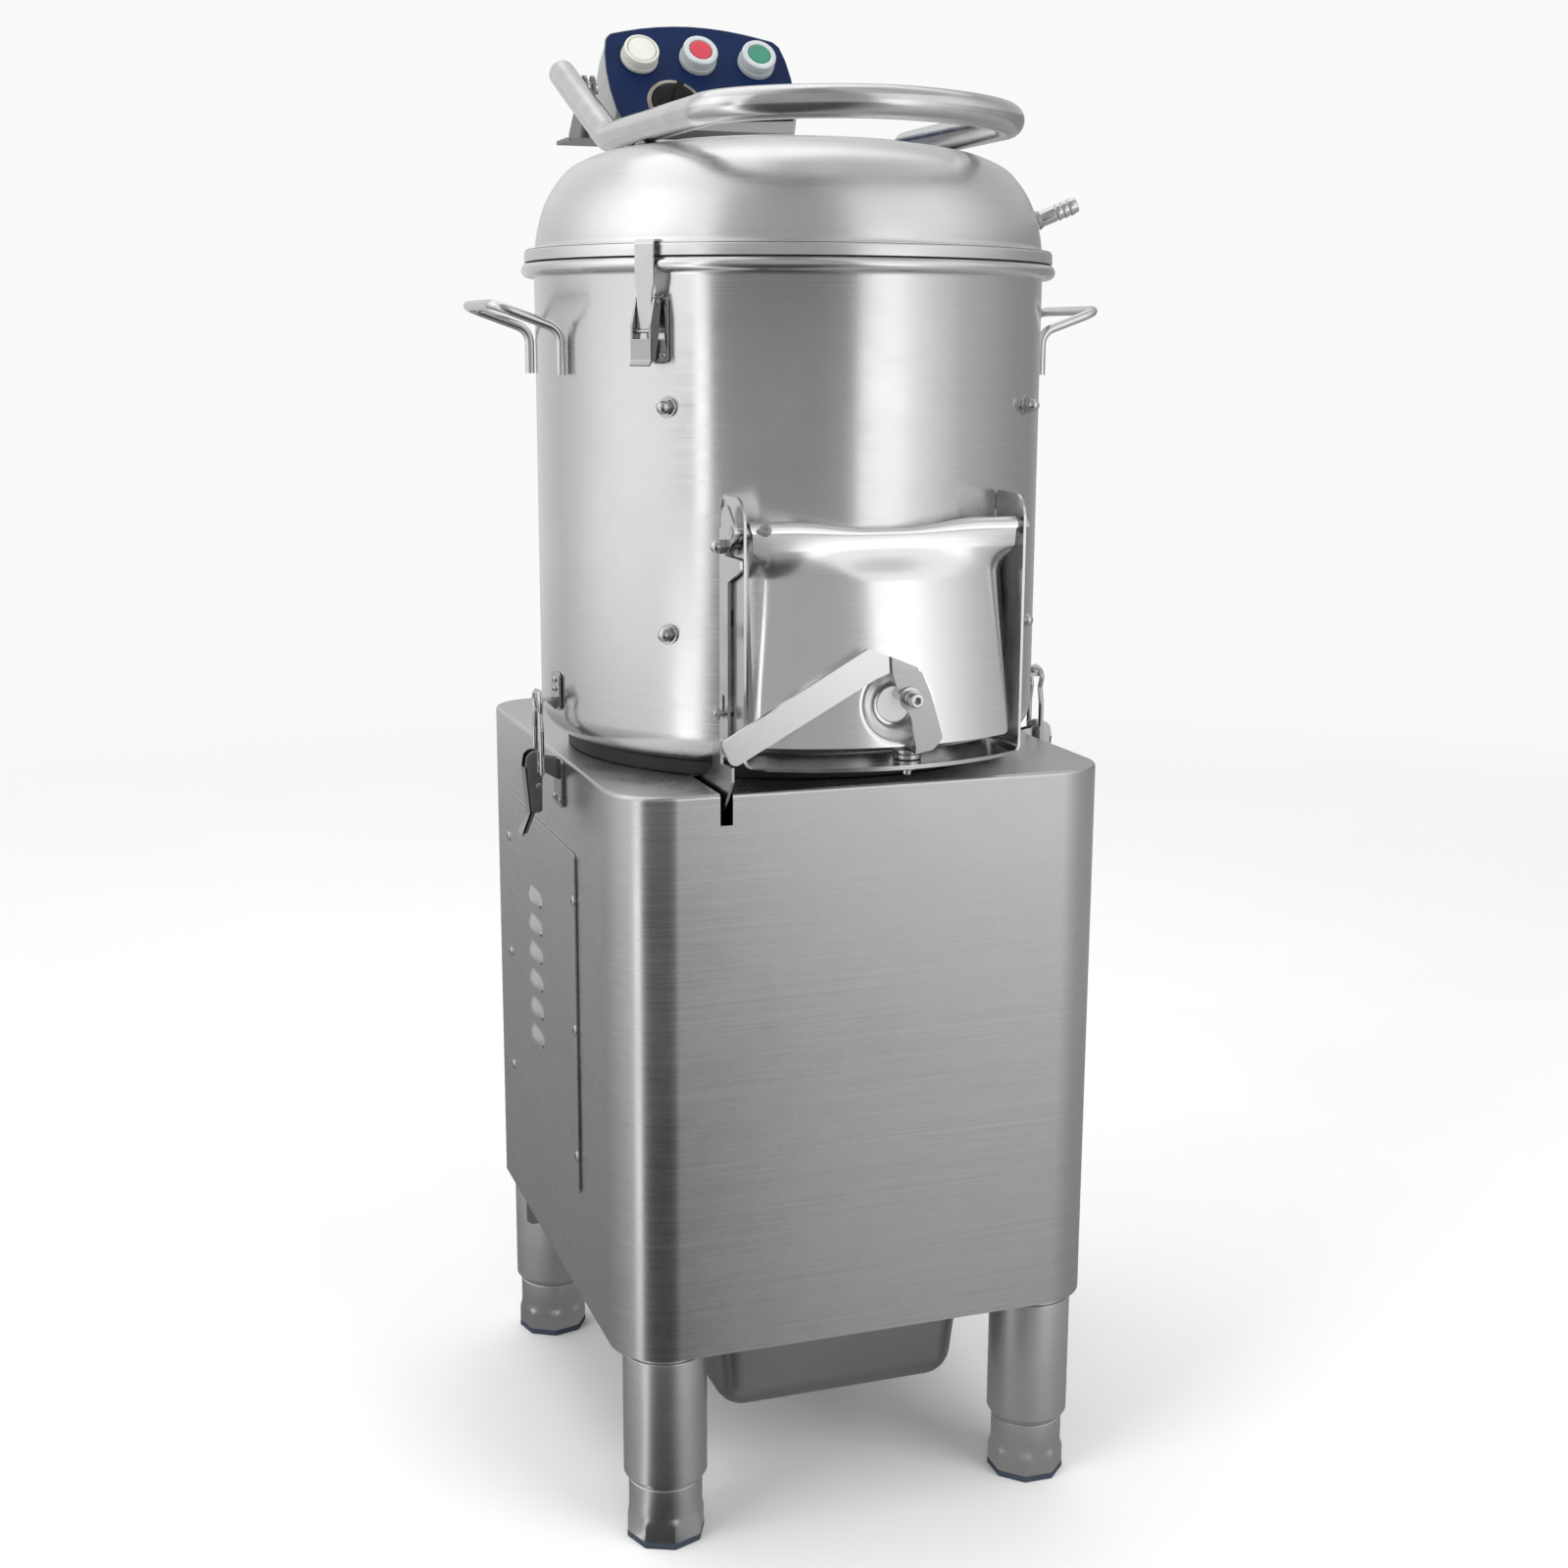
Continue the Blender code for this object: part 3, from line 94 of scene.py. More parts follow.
# ------------------------------------------------------------------ materials
class Nodes:
    """Small helper round one material's node tree."""

    def __init__(self, name):
        self.mat = bpy.data.materials.new(name)
        self.mat.use_nodes = True
        self.tree = self.mat.node_tree
        self.bsdf = self.tree.nodes["Principled BSDF"]

    def add(self, kind, **values):
        node = self.tree.nodes.new(kind)
        for key, value in values.items():
            setattr(node, key, value)
        return node

    def join(self, a, b):
        self.tree.links.new(a, b)

    def math(self, op, a, b=None, clamp=False):
        node = self.add("ShaderNodeMath", operation=op, use_clamp=clamp)
        for i, v in enumerate((a, b)):
            if v is None:
                continue
            if isinstance(v, (int, float)):
                node.inputs[i].default_value = v
            else:
                self.join(v, node.inputs[i])
        return node.outputs[0]

    def coords(self, kind):
        """Object coordinates in metres: as they are, or unrolled round the drum's axis."""
        at = self.add("ShaderNodeTexCoord").outputs["Object"]
        if kind != "round":
            return at
        split = self.add("ShaderNodeSeparateXYZ")
        self.join(at, split.inputs[0])
        x, y, z = split.outputs
        turn = self.math("ARCTAN2", x, self.math("MULTIPLY", self.math("ADD", y, 0.00375), -1.0))
        out = self.add("ShaderNodeCombineXYZ")
        self.join(self.math("MULTIPLY", turn, 0.19), out.inputs[0])
        radius = self.math("SQRT", self.math("ADD", self.math("MULTIPLY", x, x), self.math("MULTIPLY", y, y)))
        self.join(radius, out.inputs[1])
        self.join(z, out.inputs[2])
        return out.outputs[0]

    def noise(self, at, scale, detail=3.0, rough=0.55, distortion=0.0):
        """scale is one number, or one for each axis."""
        if not isinstance(scale, (int, float)):
            mul = self.add("ShaderNodeVectorMath", operation="MULTIPLY")
            self.join(at, mul.inputs[0])
            mul.inputs[1].default_value = scale
            at, scale = mul.outputs[0], 1.0
        node = self.add("ShaderNodeTexNoise")
        self.join(at, node.inputs["Vector"])
        node.inputs["Scale"].default_value = scale
        node.inputs["Detail"].default_value = detail
        node.inputs["Roughness"].default_value = rough
        node.inputs["Distortion"].default_value = distortion
        return node.outputs["Fac"]

    def range(self, value, lo, hi, from_lo=0.3, from_hi=0.7):
        node = self.add("ShaderNodeMapRange")
        self.join(value, node.inputs["Value"])
        node.inputs["From Min"].default_value = from_lo
        node.inputs["From Max"].default_value = from_hi
        node.inputs["To Min"].default_value = lo
        node.inputs["To Max"].default_value = hi
        return node.outputs["Result"]

    def mix(self, fac, a, b):
        node = self.add("ShaderNodeMix", data_type="RGBA")
        self.join(fac, node.inputs["Factor"])
        for socket, v in ((node.inputs[6], a), (node.inputs[7], b)):
            if isinstance(v, tuple):
                socket.default_value = (*v, 1.0)
            else:
                self.join(v, socket)
        return node.outputs[2]

    def bump(self, height, strength, distance, normal=None):
        node = self.add("ShaderNodeBump")
        node.inputs["Strength"].default_value = strength
        node.inputs["Distance"].default_value = distance
        self.join(height, node.inputs["Height"])
        if normal is not None:
            self.join(normal, node.inputs["Normal"])
        return node.outputs["Normal"]

    def set(self, **values):
        for key, value in values.items():
            self.bsdf.inputs[key.replace("_", " ")].default_value = value


def shade(colour, by):
    return tuple(max(0.0, min(1.0, c * by)) for c in colour)


def steel(name, colour, rough, grain="round", aniso=0.6, tangent="radial", fine=1.0, bump=0.05, cloud=0.06, spread=0.05):
    """Ground stainless sheet: fine directional grain, soft cloudiness, a few rubbed marks."""
    n = Nodes(name)
    at = n.coords("round" if grain == "round" else "plain")
    if grain == "round":
        stretch = (14.0, 60.0, 2600.0 * fine)
    elif grain == "x":
        stretch = (16.0, 16.0, 2600.0 * fine)
    elif grain == "z":
        stretch = (2400.0 * fine, 2400.0 * fine, 14.0)
    else:
        stretch = (900.0 * fine, 900.0 * fine, 900.0 * fine)
    lines = n.noise(at, stretch, 4.0, 0.7)
    coarse = n.noise(at, tuple(s * 0.22 for s in stretch), 2.0, 0.5)
    clouds = n.noise(at, 7.0, 4.0, 0.6, 0.4)
    spots = n.noise(at, 55.0, 3.0, 0.5)
    grain_mix = n.math("ADD", n.math("MULTIPLY", lines, 0.6), n.math("MULTIPLY", coarse, 0.4))
    tone = n.mix(n.range(grain_mix, 0.0, 1.0), shade(colour, 1.0 - spread), shade(colour, 1.0 + spread))
    n.join(n.mix(n.range(clouds, 0.0, 0.5, 0.35, 0.75), tone, shade(colour, 1.0 - cloud * 1.6)),
           n.bsdf.inputs["Base Color"])
    wear = n.math("ADD", n.range(clouds, -cloud * 0.7, cloud * 0.7),
                  n.math("ADD", n.range(grain_mix, rough - 0.05, rough + 0.06), n.range(spots, -0.015, 0.02)))
    n.join(n.math("MAXIMUM", wear, 0.05), n.bsdf.inputs["Roughness"])
    n.join(n.bump(grain_mix, bump, 0.0004), n.bsdf.inputs["Normal"])
    n.set(Metallic=1.0)
    if aniso:
        way = n.add("ShaderNodeTangent")
        if tangent == "radial":
            way.direction_type, way.axis = "RADIAL", "Z"
        else:
            way.direction_type, way.uv_map = "UV_MAP", "grain"
        n.join(way.outputs[0], n.bsdf.inputs["Tangent"])
        n.set(Anisotropic=aniso, Anisotropic_Rotation=0.25)
    return n.mat


def polished(name, colour, rough, scale=1.0, bump=0.03):
    """Polished or plated metal with hairline scratches and faint fogging."""
    n = Nodes(name)
    at = n.coords("plain")
    hair = n.noise(at, (260.0 * scale, 1500.0 * scale, 420.0 * scale), 5.0, 0.75, 1.2)
    fog = n.noise(at, 38.0, 4.0, 0.6)
    n.join(n.mix(n.range(fog, 0.0, 1.0), shade(colour, 0.93), shade(colour, 1.05)), n.bsdf.inputs["Base Color"])
    n.join(n.math("ADD", n.range(hair, -0.03, 0.05), n.range(fog, rough - 0.03, rough + 0.06)),
           n.bsdf.inputs["Roughness"])
    n.join(n.bump(hair, bump, 0.0003), n.bsdf.inputs["Normal"])
    n.set(Metallic=1.0)
    return n.mat


def plastic(name, colour, rough, grain=900.0, bump=0.08, spread=0.08, spec=0.5, coat=0.0, clouds=30.0):
    """Moulded plastic, rubber or paint: fine surface grain and a little tone."""
    n = Nodes(name)
    at = n.coords("plain")
    fine = n.noise(at, grain, 3.0, 0.6)
    broad = n.noise(at, clouds, 4.0, 0.55)
    n.join(n.mix(n.range(broad, 0.0, 1.0), shade(colour, 1 - spread), shade(colour, 1 + spread)),
           n.bsdf.inputs["Base Color"])
    n.join(n.math("ADD", n.range(fine, -0.04, 0.04), n.range(broad, rough - 0.05, rough + 0.06)),
           n.bsdf.inputs["Roughness"])
    n.join(n.bump(fine, bump, 0.0003), n.bsdf.inputs["Normal"])
    n.set(Specular_IOR_Level=spec)
    if coat:
        n.set(Coat_Weight=coat, Coat_Roughness=0.12)
    return n.mat


def grit(name):
    """Coarse abrasive grains in dark resin, with lighter specks painted in as glints."""
    n = Nodes(name)
    at = n.coords("plain")
    cells = n.add("ShaderNodeTexVoronoi", feature="F1")
    n.join(at, cells.inputs["Vector"])
    cells.inputs["Scale"].default_value = 520.0
    small = n.noise(at, 1500.0, 3.0, 0.7)
    height = n.math("ADD", n.math("MULTIPLY", cells.outputs["Distance"], -0.8), n.math("MULTIPLY", small, 0.5))
    # Lighter specks on the grains: painted glints.
    painted_glint = n.range(small, 0.0, 1.0, 0.62, 0.74)
    tone = n.mix(n.range(cells.outputs["Distance"], 0.0, 1.0, 0.0, 0.6), (0.085, 0.088, 0.105), (0.02, 0.021, 0.028))
    n.join(n.mix(painted_glint, tone, (0.3, 0.31, 0.34)), n.bsdf.inputs["Base Color"])
    n.join(n.range(small, 0.95, 0.5), n.bsdf.inputs["Roughness"])
    n.join(n.bump(height, 0.9, 0.0012), n.bsdf.inputs["Normal"])
    return n.mat


def weld(name):
    n = Nodes(name)
    at = n.coords("plain")
    ripple = n.noise(at, (300.0, 300.0, 900.0), 3.0, 0.6, 1.0)
    heat = n.noise(at, 120.0, 3.0, 0.6)
    n.join(n.mix(n.range(heat, 0.0, 1.0), (0.55, 0.54, 0.52), (0.34, 0.33, 0.33)), n.bsdf.inputs["Base Color"])
    n.join(n.range(ripple, 0.22, 0.42), n.bsdf.inputs["Roughness"])
    n.join(n.bump(ripple, 0.7, 0.0008), n.bsdf.inputs["Normal"])
    n.set(Metallic=1.0)
    return n.mat


def silicone(name, colour):
    """Clear-ish soft boot: scatters light, slightly shiny, with dust."""
    n = Nodes(name)
    at = n.coords("plain")
    dust = n.noise(at, 260.0, 5.0, 0.65)
    film = n.noise(at, 60.0, 3.0, 0.5)
    n.join(n.mix(n.range(film, 0.0, 1.0), shade(colour, 0.9), shade(colour, 1.05)), n.bsdf.inputs["Base Color"])
    n.join(n.range(dust, 0.28, 0.5), n.bsdf.inputs["Roughness"])
    n.join(n.bump(dust, 0.12, 0.0003), n.bsdf.inputs["Normal"])
    n.set(Subsurface_Weight=0.35, Subsurface_Radius=(0.004, 0.004, 0.004), Subsurface_Scale=0.6,
          Specular_IOR_Level=0.5)
    return n.mat


def panel_blue(name):
    """Dark blue printed film with fine orange peel and a silk gloss."""
    n = Nodes(name)
    at = n.coords("plain")
    peel = n.noise(at, 700.0, 3.0, 0.55)
    tone = n.noise(at, 24.0, 4.0, 0.6)
    specks = n.range(n.noise(at, 420.0, 2.0, 0.5), 0.0, 1.0, 0.71, 0.76)
    base = n.mix(n.range(tone, 0.0, 1.0), (0.0015, 0.010, 0.05), (0.002, 0.014, 0.066))
    n.join(n.mix(specks, base, (0.02, 0.035, 0.1)), n.bsdf.inputs["Base Color"])
    n.join(n.range(peel, 0.3, 0.42), n.bsdf.inputs["Roughness"])
    n.join(n.bump(peel, 0.08, 0.0004), n.bsdf.inputs["Normal"])
    n.set(Specular_IOR_Level=0.25)
    return n.mat


CAB = steel("sheet_cabinet", (0.64, 0.642, 0.645), 0.27, "x", 0.7, bump=0.05)
CAB_TOP = steel("sheet_cabinet_top", (0.5, 0.505, 0.51), 0.34, "x", 0.3, bump=0.05)
DRUM = steel("sheet_drum", (0.8, 0.802, 0.805), 0.2, "round", 0.72, bump=0.035, spread=0.035)
LID = steel("sheet_lid", (0.82, 0.825, 0.83), 0.3, "round", 0.45, bump=0.03, spread=0.03)
LID_EDGE = steel("sheet_lid_edge", (0.84, 0.845, 0.85), 0.22, "round", 0.4, bump=0.03, spread=0.03)
# Door steel paler than the drum's: the extra brightness is a painted highlight across the door.
DOOR = steel("sheet_door_painted_highlight", (0.95, 0.953, 0.956), 0.22, "x", 0.55, tangent="uv", bump=0.03, spread=0.03)
BOX = steel("sheet_box", (0.6, 0.605, 0.61), 0.32, "x", 0.0, bump=0.05)
LEG = steel("tube_leg", (0.78, 0.78, 0.77), 0.34, "x", 0.5, bump=0.035)
FOOT = steel("foot_steel", (0.78, 0.78, 0.77), 0.33, "x", 0.0, fine=0.6, bump=0.06, cloud=0.1)
TRAY = steel("sheet_tray", (0.42, 0.425, 0.43), 0.34, "x", 0.0, bump=0.05)
STRAP = polished("strap_steel", (0.66, 0.66, 0.66), 0.2, 3.0, 0.012)
ARM = polished("lever_steel", (0.82, 0.82, 0.81), 0.2, 3.0, 0.012)
# Darker copy of the lever steel: painted shade on the lever's bridge, pivot plate and lip.
ARM_SHADED = polished("pivot_plate", (0.46, 0.46, 0.46), 0.18, 3.0, 0.012)
# Stainless sheet given a dark tone: painted shade for the lid hinge bracket behind the drum.
SHADED_SHEET = steel("sheet_painted_shade", (0.3, 0.3, 0.3), 0.38, "x", 0.0, bump=0.05)
LATCH = polished("latch_plated", (0.46, 0.46, 0.47), 0.12)
# Seat ring under the drum: a real ring, but its near-black tone is painted shade for the dark crescent beneath the
# drum.
SEAT_SHADE = plastic("seat_ring_painted_shade", (0.012, 0.012, 0.013), 0.5, 500.0, 0.2)
TUBE = polished("tube_polished", (0.72, 0.72, 0.72), 0.15)
WIRE = polished("wire_polished", (0.76, 0.76, 0.76), 0.15)
CHROME = polished("plated", (0.66, 0.66, 0.67), 0.1)
FRAME = polished("frame_polished", (0.68, 0.68, 0.68), 0.17)
SCREW = polished("screw_steel", (0.6, 0.6, 0.6), 0.22)
WELD = weld("weld_bead")
CAST = polished("machined_iron", (0.34, 0.35, 0.36), 0.36)
GROUND = polished("ground_steel", (0.7, 0.7, 0.7), 0.16)
PAINT = plastic("motor_paint", (0.055, 0.07, 0.095), 0.42, 500.0, 0.15)
RUBBER = plastic("black_rubber", (0.022, 0.022, 0.024), 0.7, 1100.0, 0.2, spec=0.3)
SEAL = plastic("seal_rubber", (0.2, 0.2, 0.2), 0.6, 1100.0, 0.15, spec=0.3)
PAD = plastic("foot_pad_rubber", (0.045, 0.06, 0.085), 0.6, 800.0, 0.2, spec=0.35)
BLUE = panel_blue("panel_film")
BOOT = silicone("boot_silicone", (0.5, 0.545, 0.555))
BOOT_WHITE = silicone("boot_white", (0.66, 0.66, 0.6))
RED = plastic("button_red", (0.5, 0.036, 0.062), 0.42, 600.0, 0.12, coat=0.3)
GREEN = plastic("button_green", (0.036, 0.21, 0.14), 0.42, 600.0, 0.12, coat=0.3)
KNOB = plastic("knob_black", (0.005, 0.005, 0.0055), 0.42, 700.0, 0.12, spec=0.25)
DIAL = polished("dial_ring", (0.5, 0.47, 0.4), 0.34)
NYLON = plastic("pad_nylon", (0.86, 0.86, 0.84), 0.45, 500.0, 0.08, 0.03)
GRIT = grit("abrasive")
PIPE = plastic("pipe_grey", (0.25, 0.26, 0.27), 0.5, 500.0, 0.08)
BLACK = plastic("moulded_black", (0.02, 0.02, 0.022), 0.5, 800.0, 0.15)
SHADOW = plastic("painted_inside_shade", (0.03, 0.03, 0.032), 0.6, 600.0, 0.1)


# ------------------------------------------------------------------ building helpers
def link(name, data):
    obj = bpy.data.objects.new(name, data)
    bpy.context.scene.collection.objects.link(obj)
    return obj


def from_bmesh(name, bm, matrix=None, recalc=True):
    if recalc:
        bmesh.ops.recalc_face_normals(bm, faces=bm.faces)
    mesh = bpy.data.meshes.new(name)
    bm.to_mesh(mesh)
    bm.free()
    obj = link(name, mesh)
    if matrix is not None:
        obj.matrix_world = matrix
    return obj


def baked(obj):
    """The object's evaluated mesh, in millimetre-built world space, with its modifiers gone."""
    graph = bpy.context.evaluated_depsgraph_get()
    graph.update()
    mesh = bpy.data.meshes.new_from_object(obj.evaluated_get(graph), depsgraph=graph)
    mesh.transform(obj.matrix_world)
    return mesh


def grain_uv(mesh):
    """U runs along X and V along Z, so that a grain direction is known on a bent sheet."""
    layer = mesh.uv_layers.get("grain") or mesh.uv_layers.new(name="grain")
    for loop in mesh.loops:
        co = mesh.vertices[loop.vertex_index].co
        layer.data[loop.index].uv = (co.x * 4.0 + co.y * 0.37, co.z * 4.0 - co.y * 0.61)


def piece(obj, body, material, nodes=(), angle=32.0, bevel=0.0, segments=2, limit=38.0, uv=False,
          even=False):
    """Bakes a built object into the row frame, shades it, gives it its finish and its body."""
    if bevel:
        mod = obj.modifiers.new("Edge", "BEVEL")
        mod.width = bevel * MM
        mod.segments = segments
        mod.limit_method = "ANGLE"
        mod.angle_limit = math.radians(limit)
        mod.use_clamp_overlap = True
        mod.harden_normals = False
    mesh = baked(obj)
    mesh.transform(ROW)
    old = obj.data
    name = obj.name
    bpy.data.objects.remove(obj, do_unlink=True)
    if isinstance(old, bpy.types.Mesh) and old.users == 0:
        bpy.data.meshes.remove(old)
    mesh.name = name
    for face in mesh.polygons:
        face.use_smooth = True
    mesh.set_sharp_from_angle(angle=math.radians(angle))
    if bevel or even:
        helper = link(name + "_flat", mesh)
        mod = helper.modifiers.new("Normals", "WEIGHTED_NORMAL")
        mod.mode = "FACE_AREA"
        mod.weight = 80
        mod.keep_sharp = True
        weighted = baked(helper)
        bpy.data.objects.remove(helper, do_unlink=True)
        bpy.data.meshes.remove(mesh)
        mesh = weighted
        mesh.name = name
    if uv:
        grain_uv(mesh)
    mesh.materials.clear()
    mesh.materials.append(material)
    out = link(name, mesh)
    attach(out, body)
    if nodes:
        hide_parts(*nodes)
    return out


def block(name, lo, hi, frame=None):
    lo, hi = Vector(lo), Vector(hi)
    bm = bmesh.new()
    bmesh.ops.create_cube(bm, size=1.0)
    bmesh.ops.scale(bm, vec=(hi - lo) * MM, verts=bm.verts)
    matrix = Matrix.Translation((lo + hi) / 2 * MM)
    return from_bmesh(name, bm, frame @ matrix if frame else matrix)


def rod(name, p0, p1, r, segs=48, r2=None, frame=None):
    p0, p1 = Vector(p0) * MM, Vector(p1) * MM
    way = p1 - p0
    bm = bmesh.new()
    bmesh.ops.create_cone(bm, cap_ends=True, cap_tris=False, segments=segs, radius1=r * MM,
                          radius2=(r if r2 is None else r2) * MM, depth=way.length)
    turn = Vector((0, 0, 1)).rotation_difference(way).to_matrix().to_4x4()
    matrix = Matrix.Translation((p0 + p1) / 2) @ turn
    return from_bmesh(name, bm, frame @ matrix if frame else matrix)


def soften(profile, radius=0.6, n=4):
    """Rounds the sharp corners of a closed (r, z) outline that starts and ends on the axis, or runs round."""
    on_axis = profile[0][0] < 1e-9 and profile[-1][0] < 1e-9
    radii = []
    count = len(profile)
    for i, p in enumerate(profile):
        if on_axis and i in (0, count - 1):
            radii.append(0.0)
            continue
        a = Vector(profile[i - 1]) - Vector(p)
        b = Vector(profile[(i + 1) % count]) - Vector(p)
        if a.length < 1e-6 or b.length < 1e-6:
            radii.append(0.0)
            continue
        turn = math.pi - a.angle(b)
        if turn < math.radians(18):
            radii.append(0.0)
            continue
        reach = min(a.length, b.length) * 0.45
        radii.append(min(radius, reach / max(math.tan(turn / 2), 1e-3)))
    return fillet(profile, radii, n, closed=not on_axis)


def turned(name, profile, centre=(0, 0, 0), steps=96, matrix=None):
    area = sum(a[0] * b[1] - b[0] * a[1] for a, b in zip(profile, profile[1:] + profile[:1]))
    if area > 0:
        profile = profile[::-1]
    on_axis = [p[0] < 1e-9 for p in profile]
    if any(on_axis):
        while not (profile[0][0] < 1e-9 and profile[-1][0] < 1e-9):
            profile = profile[1:] + profile[:1]
    mesh = bpy.data.meshes.new(name)
    count = len(profile)
    edges = [(i, i + 1) for i in range(count - 1)]
    if not any(on_axis):
        edges.append((count - 1, 0))
    mesh.from_pydata([(r * MM, 0.0, z * MM) for r, z in profile], edges, [])
    obj = link(name, mesh)
    mod = obj.modifiers.new("Screw", "SCREW")
    mod.axis = "Z"
    mod.angle = 2 * math.pi
    mod.steps = mod.render_steps = steps
    mod.use_merge_vertices = True
    mod.merge_threshold = 1e-6
    mod.use_smooth_shade = True
    mod.use_normal_calculate = False
    base = Matrix.Translation(Vector(centre) * MM)
    obj.matrix_world = matrix @ base if matrix else base
    return obj


def fillet(points, radius, n=6, closed=False):
    pts = [Vector(p).to_3d() for p in points]
    flat = len(points[0]) == 2
    radii = radius if isinstance(radius, (list, tuple)) else [radius] * len(pts)
    out = []
    for i, p in enumerate(pts):
        ends = not closed and i in (0, len(pts) - 1)
        if ends or radii[i] <= 0:
            out.append(p)
            continue
        a = (pts[i - 1] - p).normalized()
        b = (pts[(i + 1) % len(pts)] - p).normalized()
        half = a.angle(b) / 2
        if half > math.radians(89.5):
            out.append(p)
            continue
        c = p + (a + b).normalized() * radii[i] / math.sin(half)
        va = p + a * radii[i] / math.tan(half) - c
        vb = p + b * radii[i] / math.tan(half) - c
        for k in range(n + 1):
            out.append(c + va.slerp(vb, k / n).normalized() * va.length if va.angle(vb) > 1e-6 else c + va)
    return [(v.x, v.y) if flat else tuple(v) for v in out]


def spaced(points, step):
    """The same path with points at even distances, for a tube without kinks."""
    pts = [Vector(p) for p in points]
    out = [pts[0]]
    carry = 0.0
    for a, b in zip(pts, pts[1:]):
        length = (b - a).length
        at = step - carry
        while at < length:
            out.append(a.lerp(b, at / length))
            at += step
        carry = length - (at - step)
    if (out[-1] - pts[-1]).length > step * 0.3:
        out.append(pts[-1])
    else:
        out[-1] = pts[-1]
    return [tuple(p) for p in out]


def circle(cx, cy, r, n=40):
    return [(cx + r * math.cos(2 * math.pi * k / n), cy + r * math.sin(2 * math.pi * k / n)) for k in range(n)]


def hull(points):
    points = sorted(set((round(x, 5), round(y, 5)) for x, y in points))

    def half(seq):
        out = []
        for p in seq:
            while len(out) > 1 and ((out[-1][0] - out[-2][0]) * (p[1] - out[-2][1])
                                    - (out[-1][1] - out[-2][1]) * (p[0] - out[-2][0])) <= 1e-9:
                out.pop()
            out.append(p)
        return out[:-1]
    return half(points) + half(points[::-1])


def box_outline(x0, y0, x1, y1, r=0.0, n=8):
    pts = [(x0, y0), (x1, y0), (x1, y1), (x0, y1)]
    return fillet(pts, r, n, closed=True) if r else pts


PLANES = {
    "XY": Matrix.Identity(3),
    "YZ": Matrix(((0, 0, 1), (1, 0, 0), (0, 1, 0))),
    "XZ": Matrix(((1, 0, 0), (0, 0, -1), (0, 1, 0))),
}
NORMAL = {"XY": Vector((0, 0, 1)), "YZ": Vector((1, 0, 0)), "XZ": Vector((0, 1, 0))}


def as_mesh(curve_obj, name):
    graph = bpy.context.evaluated_depsgraph_get()
    graph.update()
    mesh = bpy.data.meshes.new_from_object(curve_obj.evaluated_get(graph), depsgraph=graph)
    matrix = curve_obj.matrix_world.copy()
    data = curve_obj.data
    bpy.data.objects.remove(curve_obj, do_unlink=True)
    bpy.data.curves.remove(data)
    bm = bmesh.new()
    bm.from_mesh(mesh)
    bpy.data.meshes.remove(mesh)
    bmesh.ops.remove_doubles(bm, verts=bm.verts, dist=2e-6)
    return from_bmesh(name, bm, matrix)


def plate(name, outlines, lo, hi, plane="XY", frame=None):
    curve = bpy.data.curves.new(name + "_outline", "CURVE")
    curve.dimensions = "2D"
    curve.fill_mode = "BOTH"
    curve.extrude = (hi - lo) / 2 * MM
    for loop in outlines:
        spline = curve.splines.new("POLY")
        spline.points.add(len(loop) - 1)
        for point, (x, y) in zip(spline.points, loop):
            point.co = (x * MM, y * MM, 0.0, 1.0)
        spline.use_cyclic_u = True
    obj = link(name + "_outline", curve)
    matrix = Matrix.Translation(NORMAL[plane] * (lo + hi) / 2 * MM) @ PLANES[plane].to_4x4()
    obj.matrix_world = frame @ matrix if frame else matrix
    return as_mesh(obj, name)


def tube(name, points, r, frame=None, resolution=8):
    curve = bpy.data.curves.new(name + "_path", "CURVE")
    curve.dimensions = "3D"
    curve.bevel_depth = r * MM
    curve.bevel_resolution = resolution
    curve.use_fill_caps = True
    spline = curve.splines.new("POLY")
    spline.points.add(len(points) - 1)
    for point, co in zip(spline.points, points):
        point.co = (co[0] * MM, co[1] * MM, co[2] * MM, 1.0)
    obj = link(name + "_path", curve)
    if frame:
        obj.matrix_world = frame
    return as_mesh(obj, name)


def boolean(obj, others, operation, solver="EXACT"):
    for other in others:
        mod = obj.modifiers.new(operation.title(), "BOOLEAN")
        mod.operation = operation
        mod.solver = solver
        mod.object = other
    return obj


def baked_boolean(obj, others, operation, solver="EXACT"):
    """Boolean that is applied at once, with the helpers removed."""
    boolean(obj, others, operation, solver)
    mesh = baked(obj)
    obj.modifiers.clear()
    obj.data = mesh
    obj.matrix_world = Matrix.Identity(4)
    for other in others:
        bpy.data.objects.remove(other, do_unlink=True)
    return obj


def cut(obj, *others, solver="EXACT"):
    return baked_boolean(obj, others, "DIFFERENCE", solver)


def fuse(obj, *others, solver="EXACT"):
    return baked_boolean(obj, others, "UNION", solver)


def together(name, parts):
    """Several closed meshes as one object, without a Boolean, where they only touch or sink into each other."""
    bm = bmesh.new()
    for part in parts:
        mesh = baked(part)
        bm.from_mesh(mesh)
        bpy.data.meshes.remove(mesh)
        bpy.data.objects.remove(part, do_unlink=True)
    mesh = bpy.data.meshes.new(name)
    bm.to_mesh(mesh)
    bm.free()
    return link(name, mesh)


def about_z(angle):
    return Matrix.Rotation(angle, 4, "Z")


def grid_sheet(name, rows, thickness, offset=-1.0, outward=None):
    """A sheet from rows of points, given its thickness."""
    bm = bmesh.new()
    made = [[bm.verts.new((x * MM, y * MM, z * MM)) for x, y, z in row] for row in rows]
    for a, b in zip(made, made[1:]):
        for i in range(len(a) - 1):
            bm.faces.new((a[i], a[i + 1], b[i + 1], b[i]))
    mesh = bpy.data.meshes.new(name)
    bm.to_mesh(mesh)
    bm.free()
    obj = link(name, mesh)
    if outward is not None and mesh.polygons[len(mesh.polygons) // 2].normal.dot(outward) < 0:
        mesh.flip_normals()
    if thickness:
        mod = obj.modifiers.new("Solidify", "SOLIDIFY")
        mod.thickness = thickness * MM
        mod.offset = offset
        mod.use_even_offset = True
    return obj


